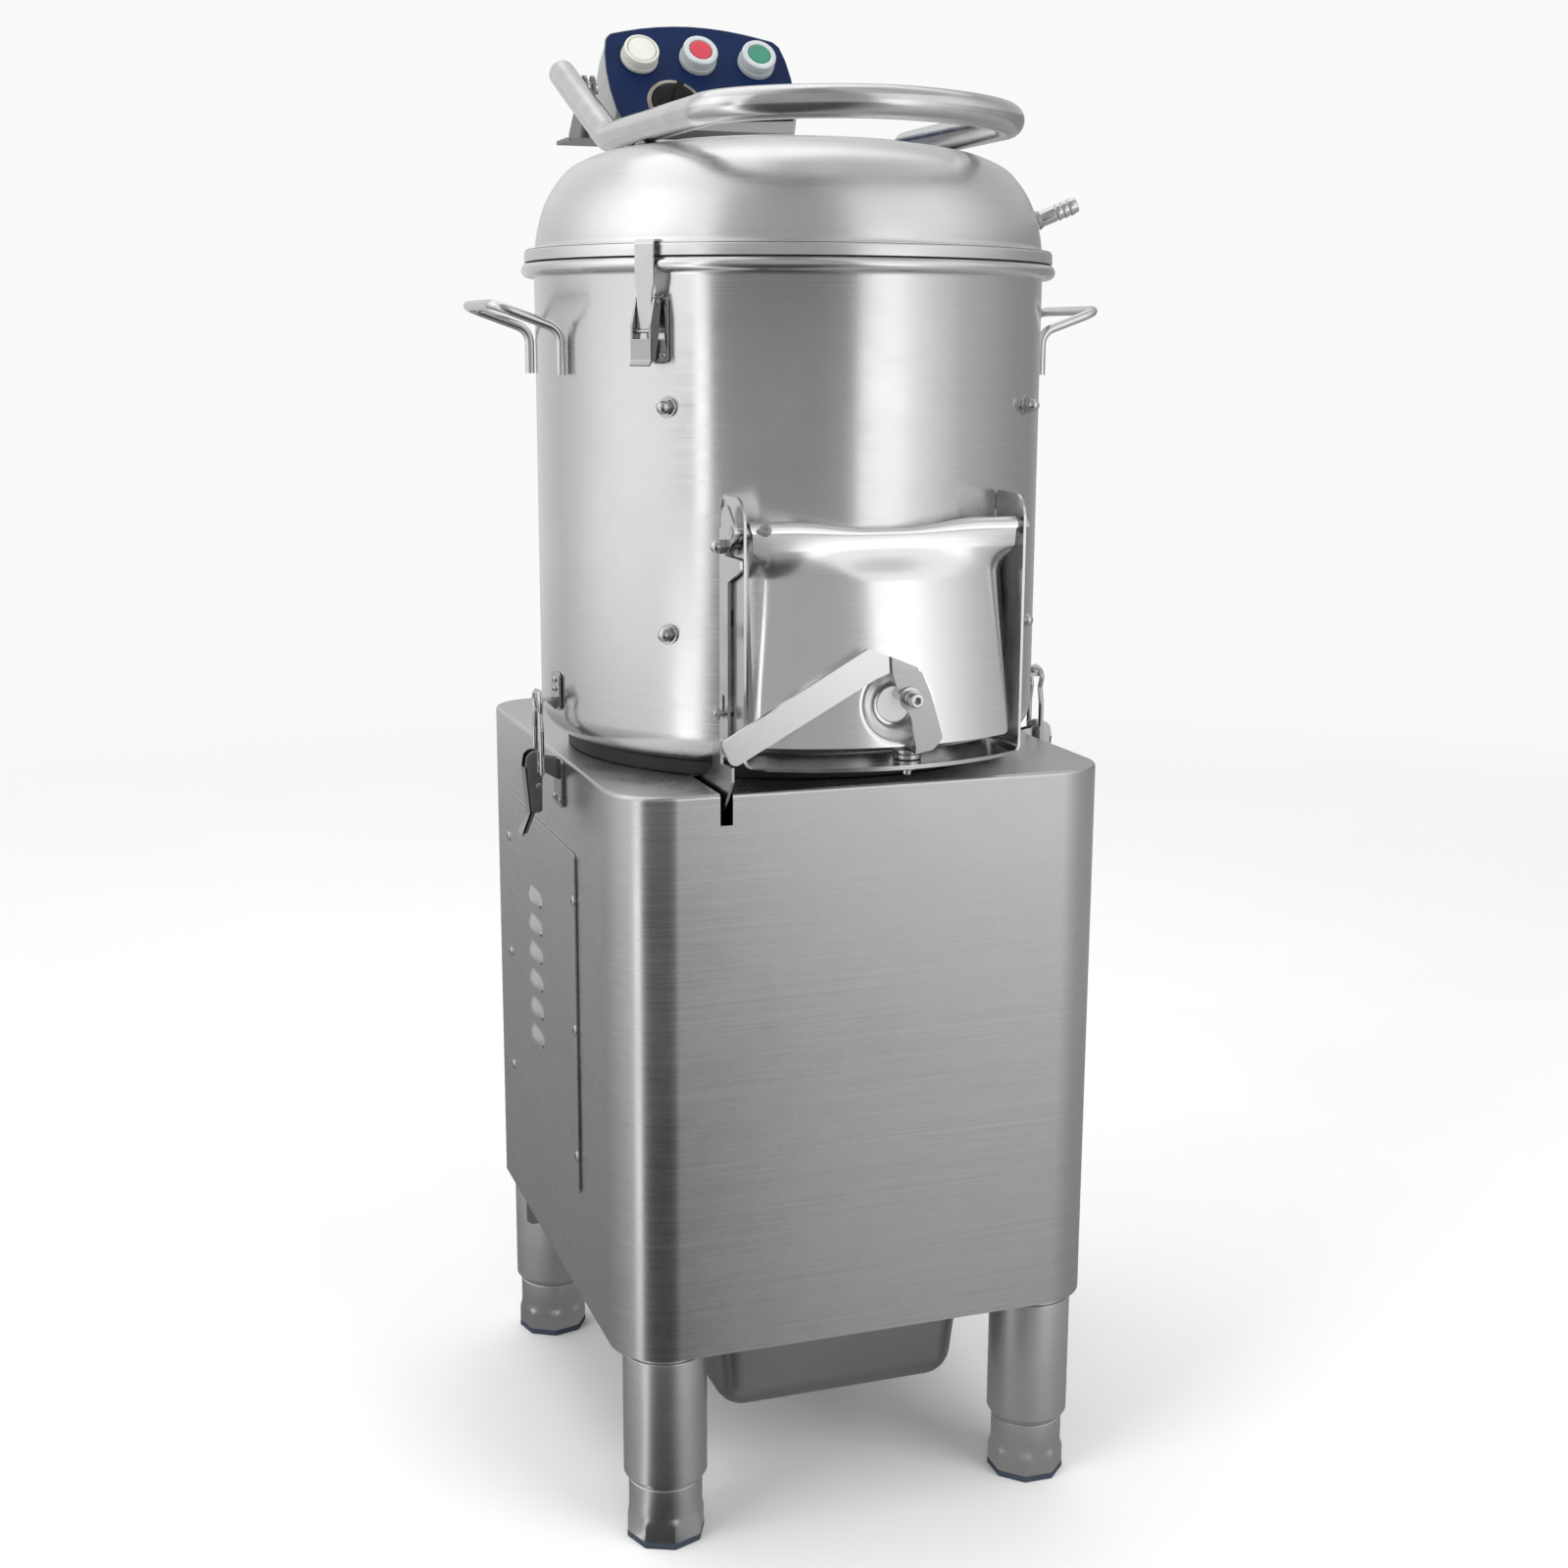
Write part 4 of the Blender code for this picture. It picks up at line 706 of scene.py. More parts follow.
def bead_line(name, points, r, body):
    """A hand-laid weld: overlapping uneven drops along the points."""
    bm = bmesh.new()
    for a, b in zip(points, points[1:]):
        a, b = Vector(a), Vector(b)
        count = max(2, int((b - a).length / (r * 0.75)))
        for k in range(count):
            at = a.lerp(b, k / count) + Vector((random.uniform(-.2, .2) * r for _ in range(3)))
            size = r * random.uniform(0.8, 1.15)
            start = len(bm.verts)
            bmesh.ops.create_icosphere(bm, subdivisions=2, radius=size * MM,
                                       matrix=Matrix.Translation(at * MM) @ Matrix.Diagonal((1, 1, .8, 1)))
            bm.verts.ensure_lookup_table()
            for v in bm.verts[start:]:
                v.co += v.co.normalized() * noise.noise(v.co * 900) * 0.12 * size * MM
    obj = from_bmesh(name, bm)
    mod = obj.modifiers.new("Melt", "REMESH")
    mod.mode = "VOXEL"
    mod.voxel_size = r * 0.22 * MM
    smooth = obj.modifiers.new("Soft", "SMOOTH")
    smooth.factor, smooth.iterations = 0.5, 3
    return piece(obj, body, WELD, angle=180)


def socket_screw(name, at, way, body, r=3.4, head=3.2, washer=0.0, material=None):
    """Cap screw with a hexagon socket; at is the seat, way points out of it."""
    turn = Matrix.Translation(Vector(at) * MM) @ Vector((0, 0, 1)).rotation_difference(Vector(way)).to_matrix().to_4x4()
    shape = soften([(0, -1.5), (r, -1.5), (r, head), (0, head)], 0.45)
    screw = turned(name, shape, (0, 0, 0), 40, turn)
    screw = cut(screw, rod("socket", (0, 0, head * 0.35), (0, 0, head + 2), r * 0.56, 6, frame=turn))
    out = [piece(screw, body, material or SCREW, bevel=0.12, segments=1, limit=50)]
    if washer:
        ring = turned(name + "_washer", soften([(r * 0.6, -0.2), (washer, -0.2), (washer, 0.9), (r * 0.6, 0.9)], 0.3),
                      (0, 0, 0), 48, turn)
        out.append(piece(ring, body, SCREW))
    return out


def pan_screw(name, at, way, body, r=3.6):
    """Low domed screw head with a cross recess."""
    turn = Matrix.Translation(Vector(at) * MM) @ Vector((0, 0, 1)).rotation_difference(Vector(way)).to_matrix().to_4x4()
    dome = [(0, -1.0), (r, -1.0), (r, 0.5)] + [(r * math.cos(a), 0.5 + 1.5 * math.sin(a)) for a in
                                              [math.radians(x) for x in range(15, 90, 15)]] + [(0, 2.0)]
    head = turned(name, dome, (0, 0, 0), 32, turn)
    recess = [block("recess", (-0.45, -r * 0.55, 1.0), (0.45, r * 0.55, 4), turn),
              block("recess2", (-r * 0.55, -0.45, 1.0), (r * 0.55, 0.45, 4), turn)]
    return piece(cut(head, *recess), body, SCREW)


# ------------------------------------------------------------------ camera, floor and light
def camera():
    f, yaw, pitch, roll = 2169.25, math.radians(-19.4094), math.radians(-11.7006), math.radians(0.2674)
    forward = Vector((-math.sin(yaw) * math.cos(pitch), math.cos(yaw) * math.cos(pitch), math.sin(pitch)))
    right = Vector((math.cos(yaw), math.sin(yaw), 0.0))
    up = right.cross(forward)
    right2 = right * math.cos(roll) + up * math.sin(roll)
    up2 = up * math.cos(roll) - right * math.sin(roll)
    data = bpy.data.cameras.new("camera")
    data.sensor_fit = "AUTO"
    data.sensor_width = 36.0
    data.lens = 36.0 * f / 1600.0
    data.clip_start, data.clip_end = 0.05, 60.0
    cam = link("camera", data)
    turn = Matrix((right2, up2, -forward)).transposed().to_4x4()
    cam.matrix_world = Matrix.Translation((-0.5479, -1.5512 - 0.00375, 0.8798 - 0.009)) @ turn
    bpy.context.scene.camera = cam


camera()


def glow(name, tones, centre=(0.0, 0.0), radial=None):
    """Studio surface whose brightness changes with direction round a point, and with distance from it."""
    def share(az):
        return (((az + 180.0) % 360.0) / 360.0)
    stops = sorted((share(az), tone) for az, tone in tones)
    first, last = stops[0], stops[-1]
    gap = first[0] + 1.0 - last[0]
    edge = last[1] + (first[1] - last[1]) * (1.0 - last[0]) / gap
    n = Nodes(name)
    split = n.add("ShaderNodeSeparateXYZ")
    n.join(n.coords("plain"), split.inputs[0])
    x = n.math("SUBTRACT", split.outputs[0], centre[0])
    y = n.math("SUBTRACT", split.outputs[1], centre[1])
    place = n.math("ADD", n.math("MULTIPLY", n.math("ARCTAN2", y, x), 0.5 / math.pi), 0.5)
    colours = n.add("ShaderNodeValToRGB")
    n.join(place, colours.inputs[0])
    band = colours.color_ramp
    band.elements[0].position, band.elements[1].position = 0.0, 1.0
    for element in band.elements:
        element.color = (edge * 0.5,) * 3 + (1,)
    for at, tone in stops:
        band.elements.new(at).color = (tone * 0.5,) * 3 + (1,)
    strength = None
    if radial:
        r0, f0, r1, f1 = radial
        far = n.math("SQRT", n.math("ADD", n.math("MULTIPLY", x, x), n.math("MULTIPLY", y, y)))
        part = n.math("POWER", n.range(far, 0.0, 1.0, r0, r1), 0.6)
        strength = n.math("MULTIPLY", n.math("ADD", n.math("MULTIPLY", part, f1 - f0), f0), 2.0)
    emit = n.add("ShaderNodeEmission")
    n.join(colours.outputs[0], emit.inputs["Color"])
    if strength is None:
        emit.inputs["Strength"].default_value = 2.0
    else:
        n.join(strength, emit.inputs["Strength"])
    out = n.tree.nodes["Material Output"]
    n.join(emit.outputs[0], out.inputs[0])
    return n.mat


WALL_TONES = [(8, 0.31), (33, 0.27), (62, 0.42), (93, 0.7), (129, 0.58), (142, 0.66), (160, 0.9), (177, 1.0),
              (193, 0.95), (199, 0.8), (205, 0.6), (210, 0.6), (211.5, 1.5), (216, 1.55), (218, 0.42), (222, 0.36),
              (262, 0.37), (276, 0.4), (280, 0.62), (282.5, 1.25), (300, 1.25), (308, 0.95), (320, 0.71), (334, 0.49),
              (349, 0.4)]
HIGH_TONES = [(8, 0.45), (33, 0.5), (62, 0.6), (93, 0.8), (129, 0.7), (160, 1.15), (177, 1.35), (193, 1.35),
              (205, 1.0), (211, 1.15), (216, 1.1), (220, 0.42), (262, 0.34), (276, 0.38), (281, 0.85), (300, 0.92),
              (330, 0.88), (340, 0.75), (352, 0.6)]
NEAR_TONES = [(20, 0.4), (60, 0.34), (95, 0.3), (116, 0.38), (154, 0.48), (182, 0.6), (196, 0.8), (201, 1.6),
              (209, 1.6), (214, 0.36), (224, 0.14), (236, 0.09), (266, 0.085), (275, 0.13), (283, 0.28), (294, 0.48),
              (306, 0.62), (318, 0.62), (330, 0.54), (345, 0.45)]
FAR_TONES = [(8, 0.31), (33, 0.27), (62, 0.42), (93, 0.6), (129, 0.5), (160, 0.75), (177, 0.8), (193, 0.8), (201, 1.3),
             (211, 1.3), (216, 0.26), (224, 0.13), (266, 0.12), (280, 0.2), (286, 0.75), (291, 1.2), (297, 1.15), (308, 0.8),
             (318, 0.58), (334, 0.42), (349, 0.38)]
ROOF_TONES = [(10, 0.65), (30, 0.95), (60, 1.25), (100, 1.3), (150, 1.15), (198, 0.92), (222, 0.6), (243, 0.28),
              (262, 0.28), (280, 0.55), (297, 0.58), (320, 0.48), (345, 0.5)]


def stage_piece(name, bm, material, camera_only=False, flat=0.0):
    obj = from_bmesh(name, bm, recalc=False)
    obj.data.transform(Matrix.Translation((0, 0, flat)))
    obj.data.materials.append(material)
    if not camera_only:
        obj.visible_camera = False
        obj.visible_shadow = False
    return obj


def disc_mesh(r0, r1, count=180):
    bm = bmesh.new()
    inner = [bm.verts.new((r0 * math.cos(2 * math.pi * k / count), r0 * math.sin(2 * math.pi * k / count), 0))
             for k in range(count)] if r0 else None
    outer = [bm.verts.new((r1 * math.cos(2 * math.pi * k / count), r1 * math.sin(2 * math.pi * k / count), 0))
             for k in range(count)]
    if inner:
        for k in range(count):
            j = (k + 1) % count
            bm.faces.new((inner[k], outer[k], outer[j], inner[j]))
    else:
        bm.faces.new(outer)
    return bm


def studio():
    scene = bpy.context.scene
    scene.view_settings.view_transform = "Standard"
    scene.view_settings.look = "None"
    world = bpy.data.worlds.new("studio")
    world.use_nodes = True
    world.node_tree.nodes["Background"].inputs["Color"].default_value = (0.95, 0.952, 0.955, 1)
    world.node_tree.nodes["Background"].inputs["Strength"].default_value = 1.0
    scene.world = world

    # Pale floor that runs out into the backdrop.
    n = Nodes("pale_floor")
    at = n.coords("plain")
    split = n.add("ShaderNodeSeparateXYZ")
    n.join(at, split.inputs[0])
    far = n.math("SQRT", n.math("ADD", n.math("MULTIPLY", split.outputs[0], split.outputs[0]),
                                n.math("MULTIPLY", split.outputs[1], split.outputs[1])))
    fade = n.range(far, 0.0, 1.0, 0.9, 3.6)
    soft = n.noise(at, 3.0, 3.0, 0.5)
    tone = n.mix(n.range(soft, 0.0, 1.0), (0.85, 0.85, 0.85), (0.87, 0.87, 0.87))
    n.join(n.mix(fade, tone, (0.0, 0.0, 0.0)), n.bsdf.inputs["Base Color"])
    n.join(n.mix(fade, (0.0, 0.0, 0.0), (0.95, 0.952, 0.955)), n.bsdf.inputs["Emission Color"])
    n.set(Specular_IOR_Level=0.0, Roughness=0.9, Emission_Strength=1.0)
    floor = stage_piece("studio_floor", disc_mesh(0.0, 4.9), n.mat, camera_only=True)
    floor.visible_glossy = False

    # Light tent: seen by the metal, not by the camera.
    bm = bmesh.new()
    bmesh.ops.create_cone(bm, cap_ends=False, segments=180, radius1=5.0, radius2=5.0, depth=1.9)
    stage_piece("light_tent", bm, glow("tent_glow", WALL_TONES), flat=0.95)
    bm = bmesh.new()
    bmesh.ops.create_cone(bm, cap_ends=False, segments=180, radius1=5.0, radius2=5.0, depth=4.1)
    stage_piece("light_tent_high", bm, glow("high_glow", HIGH_TONES), flat=3.95)
    bm = bmesh.new()
    bmesh.ops.create_cone(bm, cap_ends=False, segments=180, radius1=5.0, radius2=0.0, depth=1.2)
    stage_piece("light_roof", bm, glow("roof_glow", ROOF_TONES), flat=6.6)
    # The near floor card dims towards the machine: a painted shadow of the machine on the floor, seen only in the
    # metal's reflections.
    near = stage_piece("floor_card_near", disc_mesh(0.0, 3.0), glow("near_glow", NEAR_TONES, (-0.15, -0.155),
                                                                    (0.3, 0.5, 2.6, 1.06)), flat=-0.0006)
    wide = stage_piece("floor_card_far", disc_mesh(3.0, 5.0), glow("far_glow", FAR_TONES), flat=-0.0006)
    near.visible_diffuse = wide.visible_diffuse = False

    def area(name, az, el, distance, size, power, aim=(0, 0, 0.6)):
        data = bpy.data.lights.new(name, "AREA")
        data.shape = "RECTANGLE"
        data.size, data.size_y = size
        data.energy = power
        lamp = link(name, data)
        a, e = math.radians(az), math.radians(el)
        at = Vector((math.cos(a) * math.cos(e), math.sin(a) * math.cos(e), math.sin(e))) * distance + Vector(aim)
        lamp.location = at
        lamp.rotation_mode = "QUATERNION"
        lamp.rotation_quaternion = (Vector(aim) - at).to_track_quat("-Z", "Y")
        lamp.visible_camera = False
        lamp.visible_glossy = False
        return lamp

    area("soft_left", 205, 38, 3.4, (1.6, 1.8), 34)
    area("soft_right", 300, 35, 3.4, (1.8, 1.8), 36)
    area("soft_top", 90, 78, 3.4, (3.0, 3.0), 46)
    area("soft_front", 256, 12, 3.0, (1.2, 1.6), 16)


studio()


# ------------------------------------------------------------------ drum
def build_drum():
    steps = 216
    bead = []
    for k in range(19):
        a = math.radians(150 - 260 * k / 18)
        bead.append((BEAD_C + BEAD_R * math.cos(a), RIM_Z + BEAD_R * math.sin(a)))
    profile = [(188, 935.5)] + bead + [(190.4, 926.6), (190, 925.0), (190, 780), (190, 611)]
    profile += [(168 + 22 * math.cos(math.radians(-9 * k)), 611 + 22 * math.sin(math.radians(-9 * k)))
                for k in range(1, 11)]
    profile += [(20, 589), (20, 591)]
    profile += [(168 + 20 * math.cos(math.radians(-90 + 15 * k)), 611 + 20 * math.sin(math.radians(-90 + 15 * k)))
                for k in range(0, 7)]
    drum = turned("drum", profile, (0, 0, 0), steps)
    drum = cut(drum,
               rod("c_drain", (*DRAIN, 580), (*DRAIN, 600), 24, 48),
               plate("c_door", [box_outline(-DOOR_HALF, DOOR_LO, DOOR_HALF, DOOR_HI, 10)], -230, -150, "XZ"))
    piece(drum, "base", DRUM, ["drum_shell"], angle=30)
    for i, az in enumerate((45, 135, 225, 315)):
        for j, z in enumerate((681, 837)):
            turn = about_z(math.radians(az)) @ Matrix.Translation((0, 0, z * MM)) @ Matrix.Rotation(math.pi / 2, 4, "Y")
            name = f"lining_nut_{i}{j}"
            washer = turned(name + "_washer", soften([(0, 189.4), (7.3, 189.4), (7.3, 191.6), (0, 191.6)], 0.4),
                            (0, 0, 0), 40, turn)
            piece(washer, "base", SCREW)
            hexa = rod(name + "_hex", (0, 0, 191.3), (0, 0, 195.6), 5.9, 6, frame=turn)
            piece(hexa, "base", SCREW, bevel=0.4)
            cap = [(0, 194.8), (4.9, 194.8)] + [(4.9 * math.cos(math.radians(a)), 196.4 + 4.9 * math.sin(math.radians(a)))
                                                for a in range(0, 90, 10)] + [(0, 201.3)]
            piece(turned(name + "_cap", cap, (0, 0, 0), 36, turn), "base", CHROME)
    # The seat ring is near black: painted shade under the drum's lower edge.
    ring = turned("drum_seat_ring", soften([(155, 577.6), (170, 577.6), (170, 588.7), (155, 588.7)], 1.5), (0, 0, 0), 160)
    piece(ring, "base", SEAT_SHADE, ["drum_mount_ring"])
    # abrasive lining and turning disc
    rows = []
    lining = turned("lining", [(182.3, 640), (187.4, 640), (187.4, 900), (182.3, 900)], (0, 0, 0), 180)
    lining = cut(lining, block("c_lining", (-80, -230, 600), (80, -120, 741)))
    piece(lining, "base", GRIT, ["abrasive_lining"])
    disc = turned("turning_disc", soften([(0, 636), (10, 634), (20, 626), (26, 610.3), (178, 610), (180, 608),
                                          (180, 600), (22, 600), (22, 598), (12.8, 598), (12.8, 612.4), (0, 612.4)],
                                         1.5), (0, 0, 0), 128)
    waves = []
    for k in range(3):
        turn = about_z(math.radians(90 + 120 * k))
        waves.append(rod("c_wave", (34, 0, 606.2), (170, 0, 606.2), 13, 40, frame=turn))
    disc = together("turning_disc", [disc] + waves)
    piece(disc, "turntable", GRIT, ["abrasive_disc"])


build_drum()


# ------------------------------------------------------------------ carry handles
def build_carry_handles():
    path = fillet([(-187.9, -50, 857.3), (-187.9, -50, 889), (-236, -50, 906), (-236, 50, 906), (-187.9, 50, 889),
                   (-187.9, 50, 857.3)], 13, 10)
    for tag, s in (("left", 1), ("right", -1)):
        wire = [(s * x, y, z) for x, y, z in spaced(path, 1.6)]
        piece(tube(f"carry_wire_{tag}", wire, 3.5, resolution=7), "base", WIRE,
              [f"carry_handle_{tag}"])


build_carry_handles()


# ------------------------------------------------------------------ cabinet
def rounded_rect(half, y0, y1, r, n=20):
    return fillet([(-half, y0), (half, y0), (half, y1), (-half, y1)], r, n, closed=True)


def build_cabinet():
    bm = bmesh.new()
    rings = [(0.0, CAB_Z0), (0.0, CAB_Z0 + 1.0), (0.0, CAB_Z1 - 3.0)]
    rings += [(2.6 * (1 - math.cos(math.radians(a))), CAB_Z1 - 2.6 + 2.6 * math.sin(math.radians(a)))
              for a in (22.5, 45, 67.5, 90)]
    made = []
    for inset, z in rings:
        outline = rounded_rect(CAB_X - inset, CAB_Y0 + inset, CAB_Y1 - inset, CAB_R - inset)
        made.append([bm.verts.new((x * MM, y * MM, z * MM)) for x, y in outline])
    for a, b in zip(made, made[1:]):
        for i in range(len(a)):
            j = (i + 1) % len(a)
            bm.faces.new((a[i], a[j], b[j], b[i]))
    bm.faces.new(made[-1])
    shell = from_bmesh("cabinet", bm)
    mod = shell.modifiers.new("Solidify", "SOLIDIFY")
    mod.thickness = SHEET * MM
    mod.offset = -1.0
    mod.use_even_offset = True
    shell = cut(shell,
                block("c_slot_front", (-115.7, -200, 555), (-106.6, -185, 590)),
                block("c_side_opening", (-195, -60, 257), (-180, 150, 502)),
                rod("c_hub", (0, 0, 560), (0, 0, 590), 20, 48),
                rod("c_drain", (*DRAIN, 560), (*DRAIN, 590), 24, 48),
                block("c_top_slot", (-115.7, -200, 570), (-106.6, -118, 590)))
    piece(shell, "base", CAB, ["cabinet_wall", "cabinet_top"], angle=28, even=True)

    in_x, in_y0, in_y1, in_r = CAB_X - 2.3, CAB_Y0 + 2.3, CAB_Y1 - 2.3, CAB_R - 2.3
    parts = [plate("cabinet_floor", [rounded_rect(in_x, in_y0, in_y1, in_r), box_outline(-96, -118, 96, 134, 12)],
                   CAB_Z0, CAB_Z0 + SHEET)]
    for s in (-1, 1):
        parts.append(plate("c_rail", [[(s * 106, 152.5), (s * 115.5, 152.5), (s * 115.5, 163.0), (s * 114, 163.0),
                                       (s * 114, 154), (s * 106, 154)]], -150, 150, "XZ"))
        gusset = [(-185.2, 163), (-185.2, 140.5), (-181, 137), (-119, 137), (-119, 163)]
        parts.append(plate("c_gusset", [[(-s * x, z) for x, z in gusset]], 137, 139, "XZ"))
    piece(together("cabinet_floor", parts), "base", CAB_TOP, ["base_frame"])

    leg = soften([(28.3, 163.0), (29.2, 163.0), (29.2, 157.9), (LEG_R, 157.6), (LEG_R, 61.5), (27.6, 56.7), (26.6, 56.7), (12.5, 56.7), (12.5, 82),
                  (16, 82), (16, 64), (28.5, 64)], 1.4, 5)
    for x, sx in ((-LEG_X, "left"), (LEG_X, "right")):
        for y, sy in ((LEG_Y0, "front"), (LEG_Y1, "back")):
            piece(turned(f"leg_{sy}_{sx}", leg, (x, y, 0), 96), "base", LEG, angle=40)


build_cabinet()


def build_feet():
    turns = {"foot_front_left": -2.5, "foot_front_right": 21.0, "foot_back_left": -8.0, "foot_back_right": 10.0}
    places = {"foot_front_left": (-LEG_X, LEG_Y0), "foot_front_right": (LEG_X, LEG_Y0),
              "foot_back_left": (-LEG_X, LEG_Y1), "foot_back_right": (LEG_X, LEG_Y1)}
    for name, (x, y) in places.items():
        base = Matrix.Translation((x * MM, y * MM, 0)) @ about_z(math.radians(turns[name]))
        bm = bmesh.new()
        round_r, flat_r = 27.3, 29.5
        levels = [(56.0, 0.0, 26.4), (55.3, 0.0, 27.1), (54.2, 0.0, 27.3), (38, 0.0, 27.3), (33.5, 0.0, 27.3),
                  (31.5, 0.35, 27.3), (29.5, 0.75, 27.3), (27.5, 0.95, 27.3), (25.5, 1.0, 27.3), (16.0, 1.0, 27.3),
                  (14.2, 1.0, 27.3)]
        rings = []
        count = 96
        for z, share, rr in levels:
            ring = []
            for k in range(count):
                a = 2 * math.pi * k / count
                near = (a + math.pi / 8) % (math.pi / 4) - math.pi / 8
                octagon = flat_r * math.cos(math.pi / 8) / math.cos(math.pi / 8 - abs(near))
                octagon = min(octagon, flat_r - 0.35)
                r = rr + (octagon - rr) * share if octagon > rr else rr + (octagon - rr) * share
                ring.append(bm.verts.new((r * math.cos(a) * MM, r * math.sin(a) * MM, z * MM)))
            rings.append(ring)
        for a, b in zip(rings, rings[1:]):
            for i in range(count):
                j = (i + 1) % count
                bm.faces.new((a[i], b[i], b[j], a[j]))
        bm.faces.new(rings[0])
        bm.faces.new(rings[-1][::-1])
        piece(from_bmesh(name + "_body", bm, base), name, FOOT, [name], angle=24)
        stem = turned(name + "_stem", soften([(0, 105.8), (12.1, 105.8), (12.1, 55), (0, 55)], 0.8), (x, y, 0), 40)
        piece(stem, name, GROUND)
        pad = rod(name + "_pad", (0, 0, 9.0), (0, 0, 14.2), 29.6, 8, frame=base)
        piece(pad, name, PAD, bevel=0.9, segments=3)


build_feet()


def build_side_panel():
    sheet = plate("service_panel", [box_outline(-70, 247, 160, 512, 4)], -189.3, -187.9, "YZ")
    slots = []
    for k in range(6):
        z = 336 + 23.0 * k
        slots.append(block("c_louvre_slot", (-195, 41, z - 8.6), (-180, 79, z - 4.2)))
    sheet = cut(sheet, *slots)
    piece(sheet, "base", CAB, ["side_panel"], bevel=0.35, segments=2)
    for k in range(6):
        z = 336 + 23.0 * k
        rows = []
        for i in range(17):
            v = i / 16
            row = []
            for j in range(33):
                u = j / 32
                y = 38.5 + 43.0 * u
                ends = math.sin(math.pi * min(max(u, 0.0), 1.0)) ** 0.55
                out = 4.4 * ends * math.sin(v * math.pi / 2) ** 1.6
                row.append((-189.2 - out, y, z + 4.2 - 11.6 * v - (1 - ends) * -2.0 * v))
            rows.append(row)
        louvre = grid_sheet(f"louvre_{k}", rows, 0.7, -1.0, Vector((-1, 0, 0)))
        piece(louvre, "base", CAB, angle=60)
        # Dark block behind each louvre slot: painted shade for the cabinet's inside.
        back = block(f"louvre_dark_{k}", (-188.6, 40, z - 9.4), (-187.95, 80, z - 3.6))
        piece(back, "base", SHADOW)
    for i, y in enumerate((-66, 157)):
        for j, z in enumerate((276, 376, 476)):
            pan_screw(f"panel_screw_{i}{j}", (-189.0, y, z), (-1, 0, 0), "base", 4.1)


build_side_panel()


# ------------------------------------------------------------------ inside of the cabinet and waste
def keep(node, material):
    obj = NODES[node]
    if not obj.data.materials:
        obj.data.materials.append(material)
    for holder in obj.material_slots:
        holder.material = material


for node, material in (("motor_body", PAINT), ("drive_belt", RUBBER), ("bearing_housing", CAST),
                       ("lower_bearing", GROUND), ("upper_bearing", GROUND), ("main_shaft", GROUND),
                       ("shaft_seal", RUBBER), ("drum_pulley", CAST), ("motor_pulley", CAST),
                       ("interlock_switch", BLACK)):
    keep(node, material)


def trough(name, half_top, half_low, y_half, z_low, z_high, r, segments=6):
    bm = bmesh.new()
    bmesh.ops.create_cube(bm, size=2.0)
    for vert in bm.verts:
        high = vert.co.z > 0
        vert.co = Vector(((half_top if high else half_low) * vert.co.x, (y_half - (0 if high else 3)) * vert.co.y,
                          z_high if high else z_low)) * MM
    obj = from_bmesh(name, bm)
    mod = obj.modifiers.new("Bevel", "BEVEL")
    mod.width = r * MM
    mod.segments = segments
    mod.limit_method = "ANGLE"
    mod.angle_limit = math.radians(40)
    return obj


def build_waste():
    pipe = turned("drain_pipe", soften([(20, 166), (22, 166), (22, 577.5), (25, 583), (25, 588.6), (23.2, 588.6),
                                        (23.2, 584), (20, 578.2)], 0.5), (*DRAIN, 0), 64)
    piece(pipe, "base", PIPE, ["waste_pipe"])
    tray = trough("peel_tray", 107.6, 95.0, 139, 81.0, 190.0, 20.0)
    tray = cut(tray, trough("c_tray_inside", 106.0, 93.4, 137.4, 82.6, 192.0, 18.4),
               block("c_tray_top", (-150, -180, 156.0), (150, 180, 230)))
    rim = plate("c_tray_rim", [box_outline(-112, -146, 112, 146, 14, 10), box_outline(-101.5, -135.0, 101.5, 135.0, 12, 10)],
                155.0, 156.4)
    spigot = turned("c_spigot", soften([(11, 0), (13, 0), (13, 34), (11, 34)], 0.6), (0, 0, 0), 40,
                    Matrix.Translation((0, 131 * MM, 100 * MM)) @ Matrix.Rotation(-math.pi / 2, 4, "X"))
    tray = together("peel_tray", [tray, rim, spigot])
    piece(tray, "waste_tray", TRAY, ["waste_tray"])
    gland_at = Matrix.Translation((110 * MM, 245.1 * MM, 250 * MM)) @ Matrix.Rotation(-math.pi / 2, 4, "X")
    nut = rod("gland_nut", (0, 0, 0.2), (0, 0, 8.8), 13.4, 6, frame=gland_at)
    piece(nut, "base", BLACK, ["cable_gland"], bevel=0.8)
    cap = turned("gland_cap", soften([(5.6, 8.4), (10.5, 8.4), (10.3, 15.6), (8, 19.3), (5.6, 19.3)], 0.6), (0, 0, 0), 48,
                 gland_at)
    piece(cap, "base", BLACK)
    bush = turned("gland_bush", soften([(0, 6), (5.5, 6), (5.5, 18.2), (0, 18.2)], 0.5), (0, 0, 0), 32, gland_at)
    piece(bush, "base", RUBBER)


build_waste()


